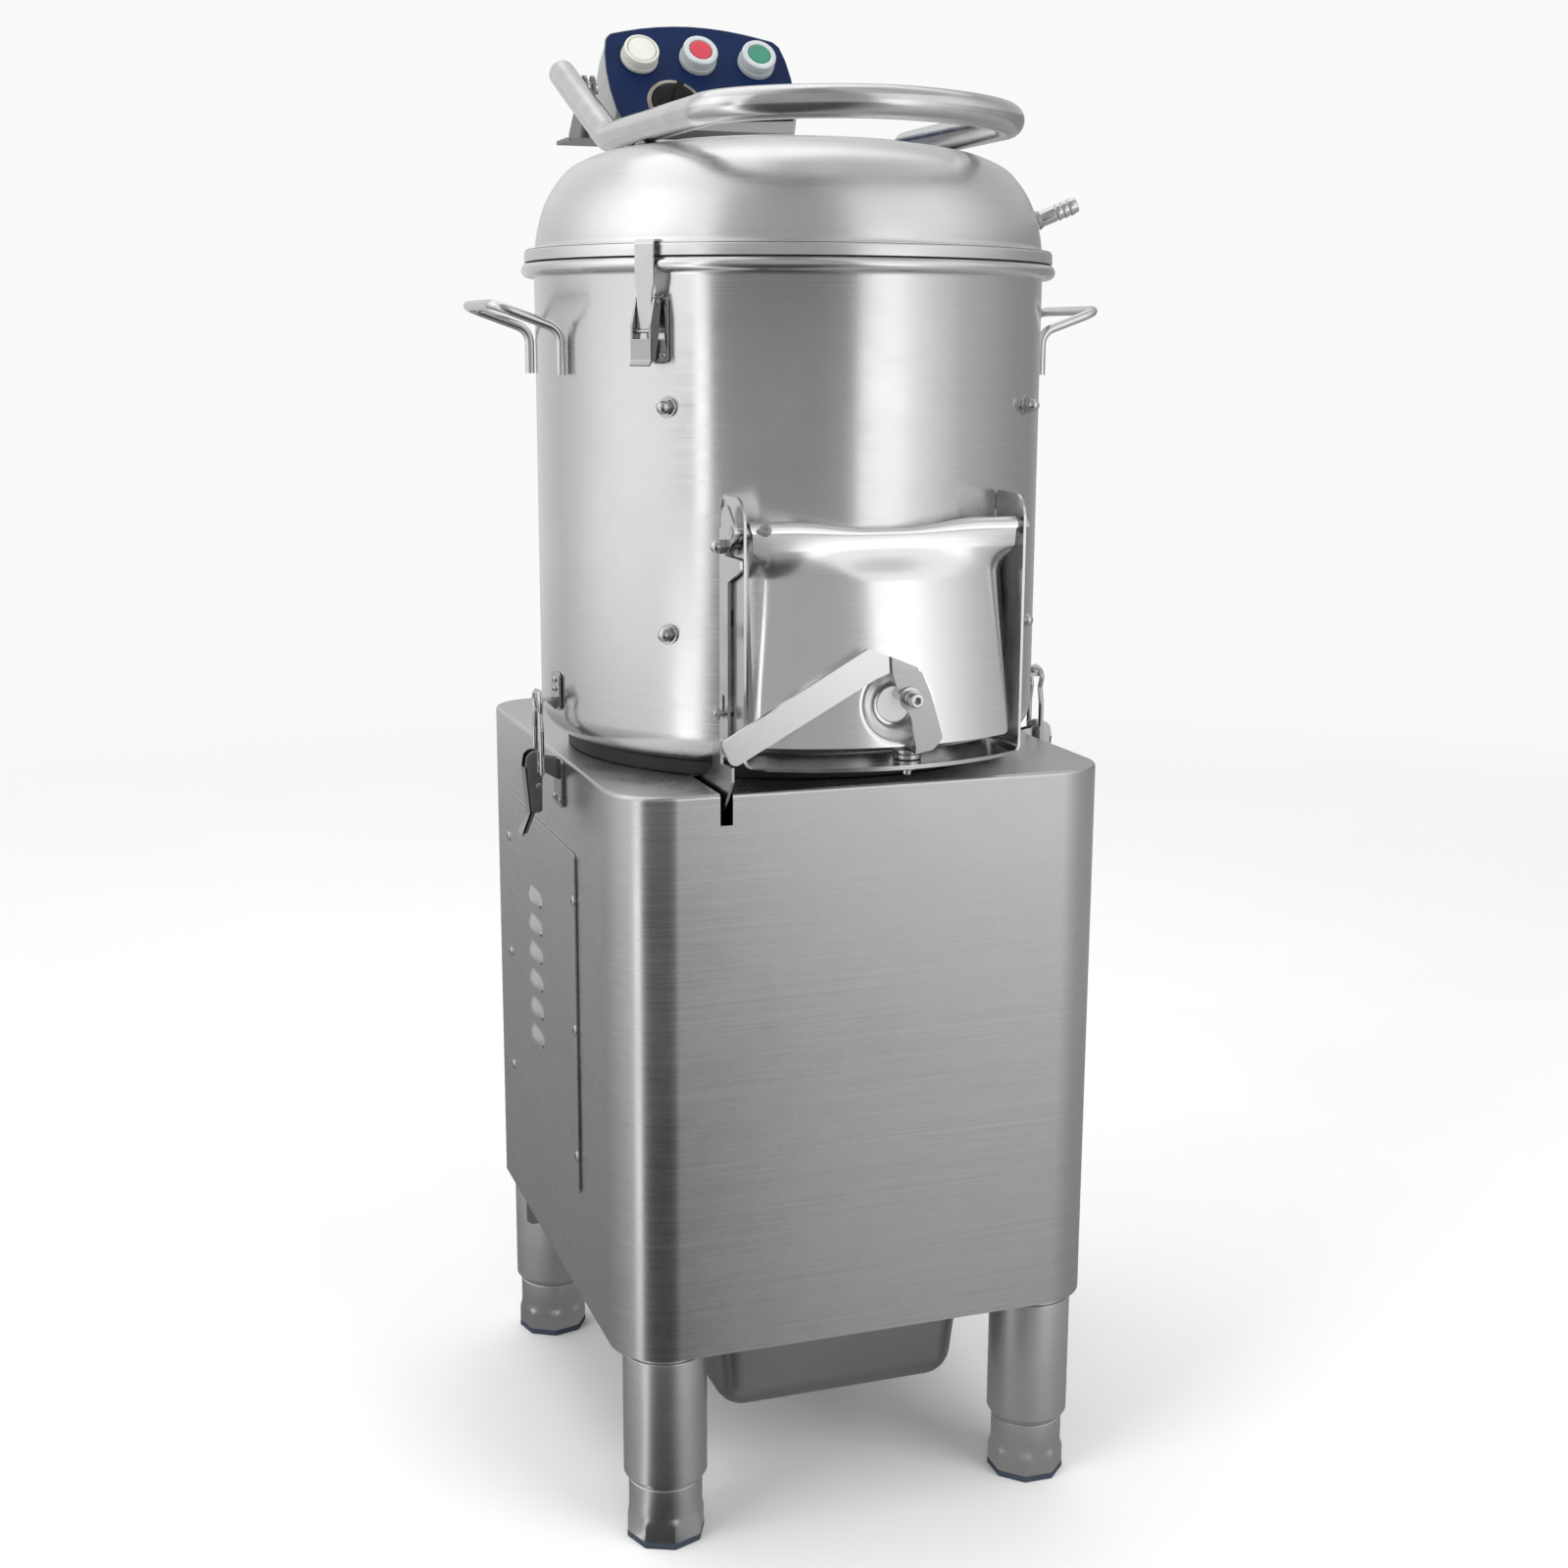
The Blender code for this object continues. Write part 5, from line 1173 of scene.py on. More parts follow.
# ------------------------------------------------------------------ door frame
def build_door_frame():
    left, low = -102.5, 597.5
    path = [(left, 779.0 - 18.0 * (1 - math.sin(math.radians(a)))) for a in range(90, -1, -6)]
    path += [(left, z) for z in (740, 720, 700, 680, 660, 640, 620, 606)]
    path += [(left + 5 - 5 * math.cos(math.radians(a)), low + 5 - 5 * math.sin(math.radians(a)))
             for a in range(0, 91, 10)]
    path += [(x, low) for x in range(-92, 0, 6)] + [(0, low)]
    path = path + [(-x, z) for x, z in path[-2::-1]]
    rows = []
    for x, z in path:
        front, back = -207.0, -161.2
        if z > 761:
            front = -189.0 - math.sqrt(max(0.0, 18.0 ** 2 - (z - 761.0) ** 2))
            if z > 776:
                back = -164.2 + math.sqrt(max(0.0, 9.0 - (z - 776.0) ** 2))
        if z < 602.6:
            t = min(1.0, (602.5 - z) / 5.0)
            ax = min(abs(x), 100.0)
            front = front * (1 - t) + (-50 - math.sqrt(187.0 ** 2 - ax ** 2)) * t
            back = back * (1 - t) - math.sqrt(187.4 ** 2 - ax ** 2) * t
        rows.append([(x, front + (back - front) * k / 10, z) for k in range(11)])
    sheet = grid_sheet("door_surround", rows, 2.0, 0.0)
    sheet = cut(sheet, rod("c_catch", (14, -213, 590), (14, -213, 604), 3.3, 24))
    piece(sheet, "base", FRAME, ["door_frame"], angle=40, bevel=0.3, segments=2, limit=60)
    # thin doubler under the bottom plate, set back from the front edge
    front = [(183.5 * math.sin(a), -50 - 183.5 * math.cos(a)) for a in
             [math.radians(-29 + 58 * k / 40) for k in range(41)]]
    back = [(188.2 * math.sin(a), -188.2 * math.cos(a)) for a in [math.radians(29 - 58 * k / 40) for k in range(41)]]
    doubler = plate("door_doubler", [front + back, circle(14, -213, 6.3, 32)], 594.8, 596.4)
    piece(doubler, "base", FRAME, bevel=0.25, segments=1)
    bolt = turned("guide_bolt_shank", soften([(0, 101.0), (2.5, 101.0), (2.5, 110.3), (0, 110.3)], 0.2), (0, 0, 0), 28,
                  Matrix.Translation((0, -173 * MM, 630 * MM)) @ Matrix.Rotation(-math.pi / 2, 4, "Y"))
    piece(bolt, "base", SCREW)
    head = rod("guide_bolt_nut", (-110, -173, 630), (-112.6, -173, 630), 5.0, 6)
    piece(head, "base", SCREW, bevel=0.35)
    tip = turned("guide_bolt_tip", soften([(0, 112.2), (2.6, 112.2), (2.6, 113.4), (1.6, 114.1), (0, 114.1)], 0.3),
                 (0, 0, 0), 28, Matrix.Translation((0, -173 * MM, 630 * MM)) @ Matrix.Rotation(-math.pi / 2, 4, "Y"))
    piece(tip, "base", SCREW)
    # catch roller: two washers on a bolt with its nut below
    parts = [turned("catch_stack", soften([(0, 598.8), (9.4, 598.8), (9.9, 599.4), (9.9, 601.8), (9.4, 602.3), (0, 602.3)],
                                          0.35), (14, -213, 0), 56),
             turned("c_catch_b", soften([(0, 602.5), (9.2, 602.5), (9.8, 603.1), (9.8, 605.4), (9.0, 605.9), (0, 605.9)],
                                        0.35), (14, -213, 0), 56),
             turned("c_catch_c", soften([(0, 587.2), (2.6, 587.2), (3.0, 587.8), (3.0, 600), (0, 600)], 0.3),
                    (14, -213, 0), 28)]
    piece(together("catch_stack", parts), "base", GROUND, ["catch_roller"])
    nut = rod("catch_nut", (14, -213, 590.6), (14, -213, 594.4), 5.6, 6)
    piece(nut, "base", SCREW, bevel=0.4)
    # tack welds along the left cheek's rear edge, and along the right one
    for s, tag in ((-1, "left"), (1, "right")):
        for i, (z0, z1) in enumerate(((766, 777), (690, 700), (626, 637))):
            bead_line(f"tack_{tag}_{i}", [(s * 103.2, -160.6, z0), (s * 104.0, -160.2, (z0 + z1) / 2),
                                          (s * 103.4, -160.4, z1)], 2.1, "base")


build_door_frame()


# ------------------------------------------------------------------ door
def smoothstep(t):
    t = max(0.0, min(1.0, t))
    return t * t * (3 - 2 * t)


def panel_front(x, z):
    """Front face of the door plate below its rolled top."""
    y = -(math.sqrt(190.0 ** 2 - x * x) + 43.0) + (z - 612.0) * 0.15
    high = smoothstep((z - 612.0) / 125.0)
    start = 91.0 - 11.5 * high
    wing = max(0.0, abs(x) - start) / (96.0 - start)
    y += (1.6 + 4.6 * high) * wing ** 1.7
    r = math.hypot(x, z - 638.5)
    if r < 27.0:
        y += 7.6 * smoothstep((27.0 - r) / 13.0)
    return y


def build_door():
    cols = 150
    rows = []
    lows = [611.0, 611.3, 612.0, 613.0, 614.4, 616.2] + [617.6 + 1.3 * k for k in range(100)]
    lows = [z for z in lows if z < 744.5]
    for z in lows:
        half = 95.0 - 1.2 * smoothstep((z - 612) / 120.0)
        if z < 618:
            half -= 7 - math.sqrt(max(0.0, 49 - (618 - z) ** 2))
        half += 4.4 * smoothstep((z - 734.0) / 18.0)
        row = []
        for i in range(cols + 1):
            x = half * (2 * i / cols - 1)
            s = smoothstep((abs(x) - 12.0) / 60.0)
            cy, r = -202.2 + 3.2 * s, 3.1 + 3.7 * s
            y = panel_front(x, min(z, 742.0))
            t = smoothstep((z - 722.0) / 25.0)
            y = y * (1 - t) + (cy - r - 0.4 * (1 - t)) * t
            row.append((x, y, z))
        rows.append(row)
    half = 95.0 - 1.2 + 4.4 * smoothstep((744.5 - 734.0) / 18.0)
    for k in range(0, 27):
        a = math.radians(-20 + 10 * k)
        row = []
        for i in range(cols + 1):
            wide = half + 1.4 * smoothstep(k / 4.0)
            x = wide * (2 * i / cols - 1)
            s = smoothstep((abs(x) - 12.0) / 60.0)
            cy, cz, r = -202.2 + 3.2 * s, 753.4 + 2.6 * s, 3.1 + 3.7 * s
            row.append((x, cy - r * math.cos(a), cz + r * math.sin(a)))
        rows.append(row)
    door = grid_sheet("door_plate", rows, 1.6, -1.0)
    if door.data.polygons[20].normal.y > 0:
        door.data.flip_normals()
    door = cut(door, rod("c_hole", (0, -260, 638.5), (0, -205, 638.5), 12.7, 64), solver="MANIFOLD")
    # The door plate's pale steel carries a painted highlight.
    piece(door, "door", DOOR, ["door_panel"], angle=50, uv=True)

    pin = together("hinge_pin", [rod("hinge_pin", (-110, HINGE_Y, HINGE_Z), (-56, HINGE_Y, HINGE_Z), 4.0, 40),
                                 rod("c_pin_r", (56, HINGE_Y, HINGE_Z), (106, HINGE_Y, HINGE_Z), 4.0, 40)])
    piece(pin, "door", SCREW, ["door_hinge_pin"], bevel=0.4)
    nut = rod("hinge_nut", (103.9, HINGE_Y, HINGE_Z), (106.6, HINGE_Y, HINGE_Z), 6.3, 6)
    piece(nut, "door", SCREW, bevel=0.4)
    tip = turned("hinge_tip", soften([(0, 105), (3.2, 105), (3.2, 108.3), (2.4, 109), (0, 109)], 0.4), (0, 0, 0), 28,
                 Matrix.Translation((0, HINGE_Y * MM, HINGE_Z * MM)) @ Matrix.Rotation(math.pi / 2, 4, "Y"))
    piece(tip, "door", CHROME)
    socket_screw("hinge_set_screw", (-88.9, -208.6, 758.0), (-0.25, -1.0, 0.12), "door", 3.2, 3.6, 4.4)

    arc = [math.radians(-27.0 + 54.0 * k / 48) for k in range(49)]
    outline = [(198.5 * math.sin(a), -198.5 * math.cos(a)) for a in arc]
    outline += [(191.3 * math.sin(a), -191.3 * math.cos(a)) for a in arc[::-1]]
    pad = plate("door_plug", [outline], 612, 741)
    stub = rod("c_stub", (0, -221.4, 638.5), (0, -195, 638.5), 12.2, 64)
    pad = together("door_plug", [pad, stub])
    piece(pad, "door", NYLON, ["door_pad"], bevel=0.5)

    crank_outline = hull(circle(-198, 756.5, 8.2) + circle(-186.5, 763.5, 10) + circle(BOLT_Y, BOLT_Z, 6.5))
    crank = plate("door_crank_plate", [crank_outline, circle(HINGE_Y, HINGE_Z, 4.3, 32)], -109.5, -107.6, "YZ")
    piece(crank, "door", FRAME, ["door_crank"], bevel=0.35)
    at_bolt = Matrix.Translation((0, BOLT_Y * MM, BOLT_Z * MM)) @ Matrix.Rotation(-math.pi / 2, 4, "Y")
    link_bolt = turned("link_bolt", soften([(0, 104.6), (3, 104.6), (3, 118), (0, 118)], 0.3), (0, 0, 0), 32, at_bolt)
    piece(link_bolt, "door", SCREW)
    piece(rod("link_nut", (0, 0, 109.6), (0, 0, 113.6), 5.6, 6, frame=at_bolt), "door", SCREW, bevel=0.4)
    dome = [(0, 113.2), (4.6, 113.2)] + [(4.6 * math.cos(math.radians(a)), 114.6 + 4.5 * math.sin(math.radians(a)))
                                         for a in range(0, 90, 10)] + [(0, 119.1)]
    piece(turned("link_dome", dome, (0, 0, 0), 32, at_bolt), "door", CHROME)

    facing = Matrix.Translation((PIVOT_X * MM, 0, PIVOT_Z * MM)) @ Matrix.Rotation(math.pi / 2, 4, "X")
    stack = [turned("lever_bush", soften([(0, 216), (4, 216), (4, 239.6), (0, 239.6)], 0.3), (0, 0, 0), 36, facing),
             turned("c_wash", soften([(0, 243.3), (7.9, 243.3), (7.9, 244.4), (0, 244.4)], 0.35), (0, 0, 0), 56, facing)]
    piece(together("lever_bush", stack), "door", SCREW, ["pivot_screw"])
    sleeve = turned("lever_sleeve", soften([(0, 244.2), (5.5, 244.2), (5.5, 248.4), (0, 248.4)], 0.4), (0, 0, 0), 48,
                    facing)
    piece(sleeve, "door", CHROME)
    cap = turned("lever_cap_screw", soften([(0, 248.2), (4.9, 248.2), (4.9, 256.9), (0, 256.9)], 0.7), (0, 0, 0), 48, facing)
    cap = cut(cap, rod("c_socket", (0, 0, 252.2), (0, 0, 260), 2.7, 6, frame=facing))
    piece(cap, "door", CHROME, bevel=0.15, segments=1, limit=50)


build_door()


# ------------------------------------------------------------------ locking lever
def sector(r0, r1, a0, a1, n=20):
    out = []
    for r, seq in ((r0, range(n + 1)), (r1, range(n, -1, -1))):
        for k in seq:
            a = math.radians(a0 + (a1 - a0) * k / n)
            out.append((PIVOT_X + r * math.sin(a), PIVOT_Z - r * math.cos(a)))
    return out


def build_lever():
    outline = fillet([(-130.2, 621.5), (-26.7, 680.1), (-8.0, 673.4), (-10.4, 663.6), (-20.1, 659.9), (-121.9, 604.2)],
                     [5, 2.2, 0, 0, 4, 5], 8, closed=True)
    arm = plate("lever_arm", [outline], -240.4, -237.2, "XZ")
    bridge = plate("c_bridge", [[(-11.0, 674.5), (8.3, 666.6), (10.9, 661.0), (-10.2, 662.0)]], -242.8, -237.3, "XZ")
    pivot = plate("c_pivot_plate", [fillet([(-9.9, 663.4), (11.2, 663.4), (18.4, 647.5), (27.8, 617.0), (20.5, 609.2),
                                            (8.6, 607.4), (4.2, 632), (-5.7, 650.5)],
                                           [0, 0, 8, 4, 4, 0, 0, 0], 8, closed=True),
                                    circle(PIVOT_X, PIVOT_Z, 3.4, 32)], -243.0, -240.4, "XZ")
    lip = plate("c_lip", [sector(37.1, 39.4, 7.5, 17.5)], -242.8, -200.2, "XZ")
    piece(arm, "door_lever", ARM, ["door_lever"], bevel=0.5, segments=2, limit=30, angle=40)
    # Bridge, pivot plate and lip take the darker copy of the lever steel: painted shade.
    piece(bridge, "door_lever", ARM_SHADED, bevel=0.5, segments=2, limit=30, angle=40)
    piece(pivot, "door_lever", ARM_SHADED, bevel=0.4, segments=2, limit=30, angle=40)
    piece(lip, "door_lever", ARM_SHADED, bevel=0.4, segments=2, limit=30, angle=40)


build_lever()


# ------------------------------------------------------------------ interlock
def build_interlock():
    outline = fillet([(-164, 600), (-164, 757), (-193.5, 757), (-193.5, 749.4), (-178.4, 749.4), (-178.4, 738.8),
                      (-209, 738.8), (-209, 731), (-182.5, 721), (-182.5, 600)],
                     [0, 2, 2, 1.5, 0, 0, 1.5, 2, 0, 0], 6, closed=True)
    link_rod = plate("interlock_strip", [outline, box_outline(-176, 626.5, -170, 642.9, 2.9, 8)], -106.8, -104.8, "YZ")
    jog = block("c_jog", (-111.9, -182.4, 601), (-104.9, -164.1, 611))
    blade = plate("c_blade", [[(-126.5, 573), (-164.2, 591.0), (-164.2, 611.6), (-182.3, 611.6), (-182.3, 596.5),
                               (-207, 598), (-207, 588), (-188, 565)]], -112.0, -110.0, "YZ")
    strip = fuse(link_rod, jog, blade)
    piece(strip, "interlock_rod", FRAME, ["interlock_rod"], bevel=0.35, segments=2)


build_interlock()


# ------------------------------------------------------------------ base latches
def build_base_latches():
    for tag, s in (("left", -1), ("right", 1)):
        lever_body = f"base_latch_lever_{tag}"

        def flip(points):
            return points if s < 0 else [(-x, z) for x, z in points]

        back = plate(f"latch_back_{tag}", [flip([(-216.0, 571.0), (-214.5, 571.0), (-211.4, 536.3), (-217.8, 519.7),
                                                 (-219.3, 520.3), (-212.9, 536.7)])], -32, -18, "XZ")
        parts = [back]
        for y0, y1 in ((-32.0, -30.7), (-19.3, -18.0)):
            ear = fillet([(-212.8, 537.0), (-215.9, 571.0), (-214.4, 580.0), (-210.5, 583.3), (-205.0, 583.4),
                          (-202.6, 579.0), (-203.4, 537.0)], [2, 8, 4, 4, 3, 3, 2.5], 6, closed=True)
            parts.append(plate("c_ear", [flip(ear)], y0, y1, "XZ"))
            parts.append(plate("c_tail", [flip([(-212.7, 537.6), (-218.9, 521.4), (-215.0, 521.8), (-208.6, 537.6)])],
                               y0, y1, "XZ"))
        piece(together(f"latch_back_{tag}", parts), lever_body, LATCH, [lever_body], bevel=0.3, segments=2)
        for i, (x, z) in enumerate(((204, 574), (205.5, 557))):
            pin = turned(f"latch_rivet_{tag}_{i}", soften([(0, -7.6), (2.4, -7.6), (2.4, -7.0), (1.4, -7.0), (1.4, 7.0),
                                                          (2.4, 7.0), (2.4, 7.6), (0, 7.6)], 0.3), (0, 0, 0), 28,
                         Matrix.Translation((s * x * MM, -25 * MM, z * MM)) @ Matrix.Rotation(math.pi / 2, 4, "X"))
            piece(pin, lever_body, SCREW)
        bail = fillet([(s * 204, -17.4, 566), (s * 204, -14.0, 566), (s * 204, -14.6, 600), (s * 204, -17.4, 612),
                       (s * 204, -14.0, 621), (s * 204, -18.5, 626), (s * 204, -31.5, 626), (s * 204, -36.0, 621),
                       (s * 204, -32.6, 612), (s * 204, -35.4, 600), (s * 204, -36.0, 566), (s * 204, -32.6, 566)],
                      [0, 2.6, 6, 5, 4, 4, 4, 4, 5, 6, 2.6, 0], 8)
        piece(tube(f"latch_bail_{tag}", spaced(bail, 0.8), 2.0, resolution=6), f"base_latch_bail_{tag}", CHROME,
              [f"base_latch_bail_{tag}"])

        x0, x1 = (-190.0, -187.9) if s < 0 else (187.9, 190.0)
        plate_y = fillet([(-37, 540), (-13, 540), (-13, 576.5), (-37, 576.5)], 3, 8, closed=True)
        base = plate(f"latch_plate_{tag}", [plate_y], x0, x1, "YZ")
        parts = [base]
        for y0, y1 in ((-29.9, -28.3), (-21.7, -20.1)):
            ear = fillet([(-189.0, 560.0), (-189.0, 576.3), (-202.0, 579.0), (-207.0, 577.4), (-207.8, 572.0),
                          (-204.0, 568.5)], [0, 0, 3, 2.5, 2, 3], 6, closed=True)
            parts.append(plate("c_base_ear", [flip(ear)], y0, y1, "XZ"))
        name = f"base_latch_base_{tag}"
        piece(together(f"latch_plate_{tag}", parts), "base", LATCH, [name], bevel=0.25, segments=2)
        for i, (y, z) in enumerate(((-32.5, 545.5), (-17.5, 545.5))):
            pan_screw(f"latch_screw_{tag}_{i}", (s * 189.9, y, z), (s, 0, 0), "base", 2.6)

        turn = about_z(math.radians(7.5) + math.pi if s < 0 else -math.radians(7.5))
        hook = plate(f"latch_hook_{tag}", [fillet([(-8, 612.9), (8, 612.9), (8, 641), (-8, 641)], 3.5, 8, closed=True)],
                     190.5, 192.2, "YZ", turn)
        ledge = plate("c_ledge", [fillet([(191.5, 620.4), (206.4, 620.4), (206.4, 629.0), (204.6, 629.0),
                                          (204.6, 623.2), (191.5, 623.2)], [0, 2, .8, .8, 1, 0], 5, closed=True)],
                      -5.6, 5.6, "XZ", turn)
        web = plate("c_web", [[(191.5, 613.5), (193.0, 613.5), (201, 620.8), (191.5, 620.8)]], -1.2, 1.2, "XZ", turn)
        name = f"base_latch_hook_{tag}"
        piece(together(f"latch_hook_{tag}", [hook, ledge, web]), "base", CHROME, [name], bevel=0.3, segments=2)
        for i, (t, z) in enumerate(((0.0, 635.5), (0.0, 628.6))):
            at = turn @ Vector((192.2 * MM, t * MM, z * MM)) / MM
            way = turn.to_3x3() @ Vector((1, 0, 0))
            pan_screw(f"hook_screw_{tag}_{i}", at, way, "base", 2.5)


build_base_latches()


# ------------------------------------------------------------------ lid latch
def build_lid_latch():
    spin = about_z(LATCH_AZ)
    base = plate("lid_catch_plate", [fillet([(-12, 866), (12, 866), (12, 910), (-12, 910)], 3, 8, closed=True)],
                 190.4, 192.3, "YZ", spin)
    parts = [base]
    for t0, t1 in ((-5.0, -3.4), (3.4, 5.0)):
        parts.append(plate("c_lid_ear", [fillet([(191.4, 886), (191.4, 909.5), (196, 911.5), (200.2, 909.5), (200.2, 903.5),
                                                 (196, 895)], [0, 0, 2, 2, 2, 2], 5, closed=True)], t0, t1, "XZ", spin))
    piece(together("lid_catch_plate", parts), "base", CHROME, ["lid_latch_base"], bevel=0.25)
    lever = [plate("lid_catch_lever", [fillet([(206.0, 882.5), (207.6, 882.5), (207.6, 868.4), (209.6, 865.2),
                                               (208.4, 864.4), (206.0, 867.4)], [0, .6, 2, 0, 0, 1.4], 5, closed=True)],
                   -8, 8, "XZ", spin)]
    for t0, t1 in ((-8.0, -6.4), (6.4, 8.0)):
        ear = fillet([(207.5, 866.6), (207.5, 892), (201.6, 910.4), (195.2, 910.4), (194.6, 904), (197.5, 884),
                      (201.5, 868.6)], [0, 3, 2.5, 2.5, 2, 4, 2], 6, closed=True)
        lever.append(plate("c_lever_ear", [ear], t0, t1, "XZ", spin))
    piece(together("lid_catch_lever", lever), "lid_latch_lever", LATCH, ["lid_latch_lever"],
          bevel=0.3, segments=3)
    for i, (o, z, r, reach) in enumerate(((198, 907, 1.6, 8.8), (202, 887.6, 1.3, 6.3))):
        pin = turned(f"lid_catch_pin_{i}", soften([(0, -reach), (r * 1.5, -reach), (r * 1.5, -reach + .7), (r, -reach + .7),
                                                  (r, reach - .7), (r * 1.5, reach - .7), (r * 1.5, reach), (0, reach)],
                                                 0.25), (0, 0, 0), 28,
                     spin @ Matrix.Translation((o * MM, 0, z * MM)) @ Matrix.Rotation(math.pi / 2, 4, "X"))
        piece(pin, "lid_latch_lever", SCREW)
    rows = []
    for z in [889.1 + 2.2 * k for k in range(26)]:
        half = 5.8 + 1.7 * smoothstep((z - 911.0) / 9.0)
        rows.append([(201.9, half * (2 * j / 8 - 1), z) for j in range(9)])
    rows = [r for r in rows if r[0][2] < 944.5]
    for k in range(0, 10):
        a = math.radians(10 * k)
        rows.append([(201.9 - 3.0 + 3.0 * math.cos(a), 7.5 * (2 * j / 8 - 1), 944.6 + 2.8 * math.sin(a)) for j in range(9)])
    rows.append([(190.8, 7.5 * (2 * j / 8 - 1), 947.4) for j in range(9)])
    strap = grid_sheet("lid_catch_strap", rows, 1.5, 0.0)
    strap.matrix_world = spin
    piece(strap, "lid_latch_strap", STRAP, ["lid_latch_strap"], bevel=0.25, limit=50)
    for i, (t, z) in enumerate(((-8.2, 871.5), (8.2, 871.5))):
        at = spin @ Vector((192.2 * MM, t * MM * 0.0 + t * MM, z * MM)) / MM
        pan_screw(f"lid_catch_screw_{i}", at, spin.to_3x3() @ Vector((1, 0, 0)), "base", 2.2)


build_lid_latch()


# ------------------------------------------------------------------ lid
def build_lid():
    steps = 216
    outer = [(0, 1021.5), (60, 1021.5), (97, 1021.45), (106, 1021.1), (112, 1020.4), (117, 1019.7), (123, 1018.9),
             (129, 1017.8), (141, 1015.0), (155, 1009.4), (165.5, 1002.6), (176, 989.6), (182.5, 977), (186.5, 964),
             (188.3, 955), (189.0, 949.2)]
    inner = [(187.2, 944.4), (184.6, 963.5), (180.7, 976.2), (174.4, 988.4), (164.3, 1001), (154, 1007.7),
             (140.2, 1013.2), (116.8, 1017.9), (92, 1019.7), (0, 1019.7)]

    def smooth(points, per=4):
        out = []
        pts = [points[0]] + points + [points[-1]]
        for i in range(1, len(pts) - 2):
            p0, p1, p2, p3 = (Vector(p) for p in pts[i - 1:i + 3])
            for k in range(per):
                t = k / per
                out.append(tuple(0.5 * ((2 * p1) + (p2 - p0) * t + (2 * p0 - 5 * p1 + 4 * p2 - p3) * t * t
                                        + (3 * p1 - p0 - 3 * p2 + p3) * t * t * t)))
        return out + [points[-1]]

    flange = fillet([(189.0, 949.2), (190.6, 946.1), (196.9, 946.0), (197.3, 937.8)], [0, 2.4, 1.6, 0], 5)
    lip = [(195.9, 937.8), (195.5, 944.4), (187.2, 944.4)]
    profile = smooth(outer, 3) + flange[1:] + lip + smooth(inner, 2)[1:]
    lid = turned("lid_dome", profile, (0, 0, 0), steps)
    piece(lid, "lid", LID, ["lid_shell"], angle=30)
    ring = turned("lid_edge_band", soften([(190.6, 946.05), (196.2, 946.05), (196.2, 946.6), (190.6, 946.6)], 0.2),
                  (0, 0, 0), steps)
    piece(ring, "lid", LID_EDGE)
    cap = turned("lid_top_plate", soften([(0, 1020.4), (99.5, 1020.4), (100.6, 1022.1), (99.4, 1022.7), (0, 1022.7)], 0.5),
                 (0, 0, 0), steps)
    piece(cap, "lid", LID)
    seal = turned("lid_gasket", soften([(190.8, 937.5), (195.2, 937.5), (195.2, 943.9), (190.8, 943.9)], 1.0), (0, 0, 0),
                  steps)
    piece(seal, "lid", SEAL, ["lid_seal"])


build_lid()


def handle_path():
    wide = ARM_X - 6
    path = [(ARM_X - 2, 52, ARM_Z), (wide, -140, ARM_Z)]
    for k in range(1, 72):
        a = math.pi * k / 72
        path.append((wide * math.copysign(abs(math.cos(a)) ** 1.15, math.cos(a)), -140 - 60 * math.sin(a) ** 1.15,
                     ARM_Z + 4 * math.sin(a)))
    path += [(-wide, -140, ARM_Z)]
    path = fillet(path, [0] + [30] + [0] * (len(path) - 3) + [0], 8)
    rise = fillet([(-ARM_X, 40, ARM_Z), (-ARM_X, 73, ARM_Z), (-ARM_X, 200, 1085.3), (-ARM_X, 221, 1094.5)],
                  [0, 36, 0, 0], 14)
    return path + rise


def build_handle():
    grip = tube("lid_grip", spaced(handle_path(), 3.0), TUBE_R, resolution=10)
    piece(grip, "lid", TUBE, ["lid_handle"], bevel=0.8, segments=3, limit=50, angle=50)
    stub = turned("lid_pivot", soften([(0, 94), (5, 94), (5, 118), (0, 118)], 0.6), (0, 0, 0), 40,
                  Matrix.Translation((0, LID_HINGE_Y * MM, LID_HINGE_Z * MM)) @ Matrix.Rotation(-math.pi / 2, 4, "Y"))
    piece(stub, "lid", GROUND)
    # welds where the arms lie on the lid
    for s, y0, y1, tag in ((1, 6, 26, "a"), (1, -30, -8, "b"), (-1, 6, 26, "c"), (-1, -30, -8, "d")):
        for side in (-1, 1):
            x = s * (ARM_X - 2.6) + side * 4.4
            bead_line(f"grip_weld_{tag}_{'in' if side < 0 else 'out'}",
                      [(x, y0, 1019.9), (x, (y0 + y1) / 2, 1020.6), (x, y1, 1019.9)], 1.6, "lid")
    way = Vector((35, -11, 15)).normalized()
    turn = Matrix.Translation(Vector((183.5, -36, 970.5)) * MM) @ Vector((0, 0, 1)).rotation_difference(way).to_matrix().to_4x4()
    barb = [(0, 4), (6.0, 4), (6.0, 19), (5.0, 19.6), (5.2, 20.4), (6.6, 20.6), (5.7, 25), (5.2, 25.2), (6.6, 25.8), (5.7, 30),
            (5.2, 30.2), (6.6, 30.8), (5.3, 37), (3.4, 37.4), (3.4, 8), (0, 8)]
    piece(turned("water_barb", soften(barb, 0.4, 3), (0, 0, 0), 48, turn), "lid", TUBE, ["hose_barb"])
    foot = turned("barb_weld", soften([(5.6, 4.4), (7.6, 4.4), (6.4, 7.6), (5.6, 7.6)], 0.5), (0, 0, 0), 48, turn)
    piece(foot, "lid", WELD)


build_handle()


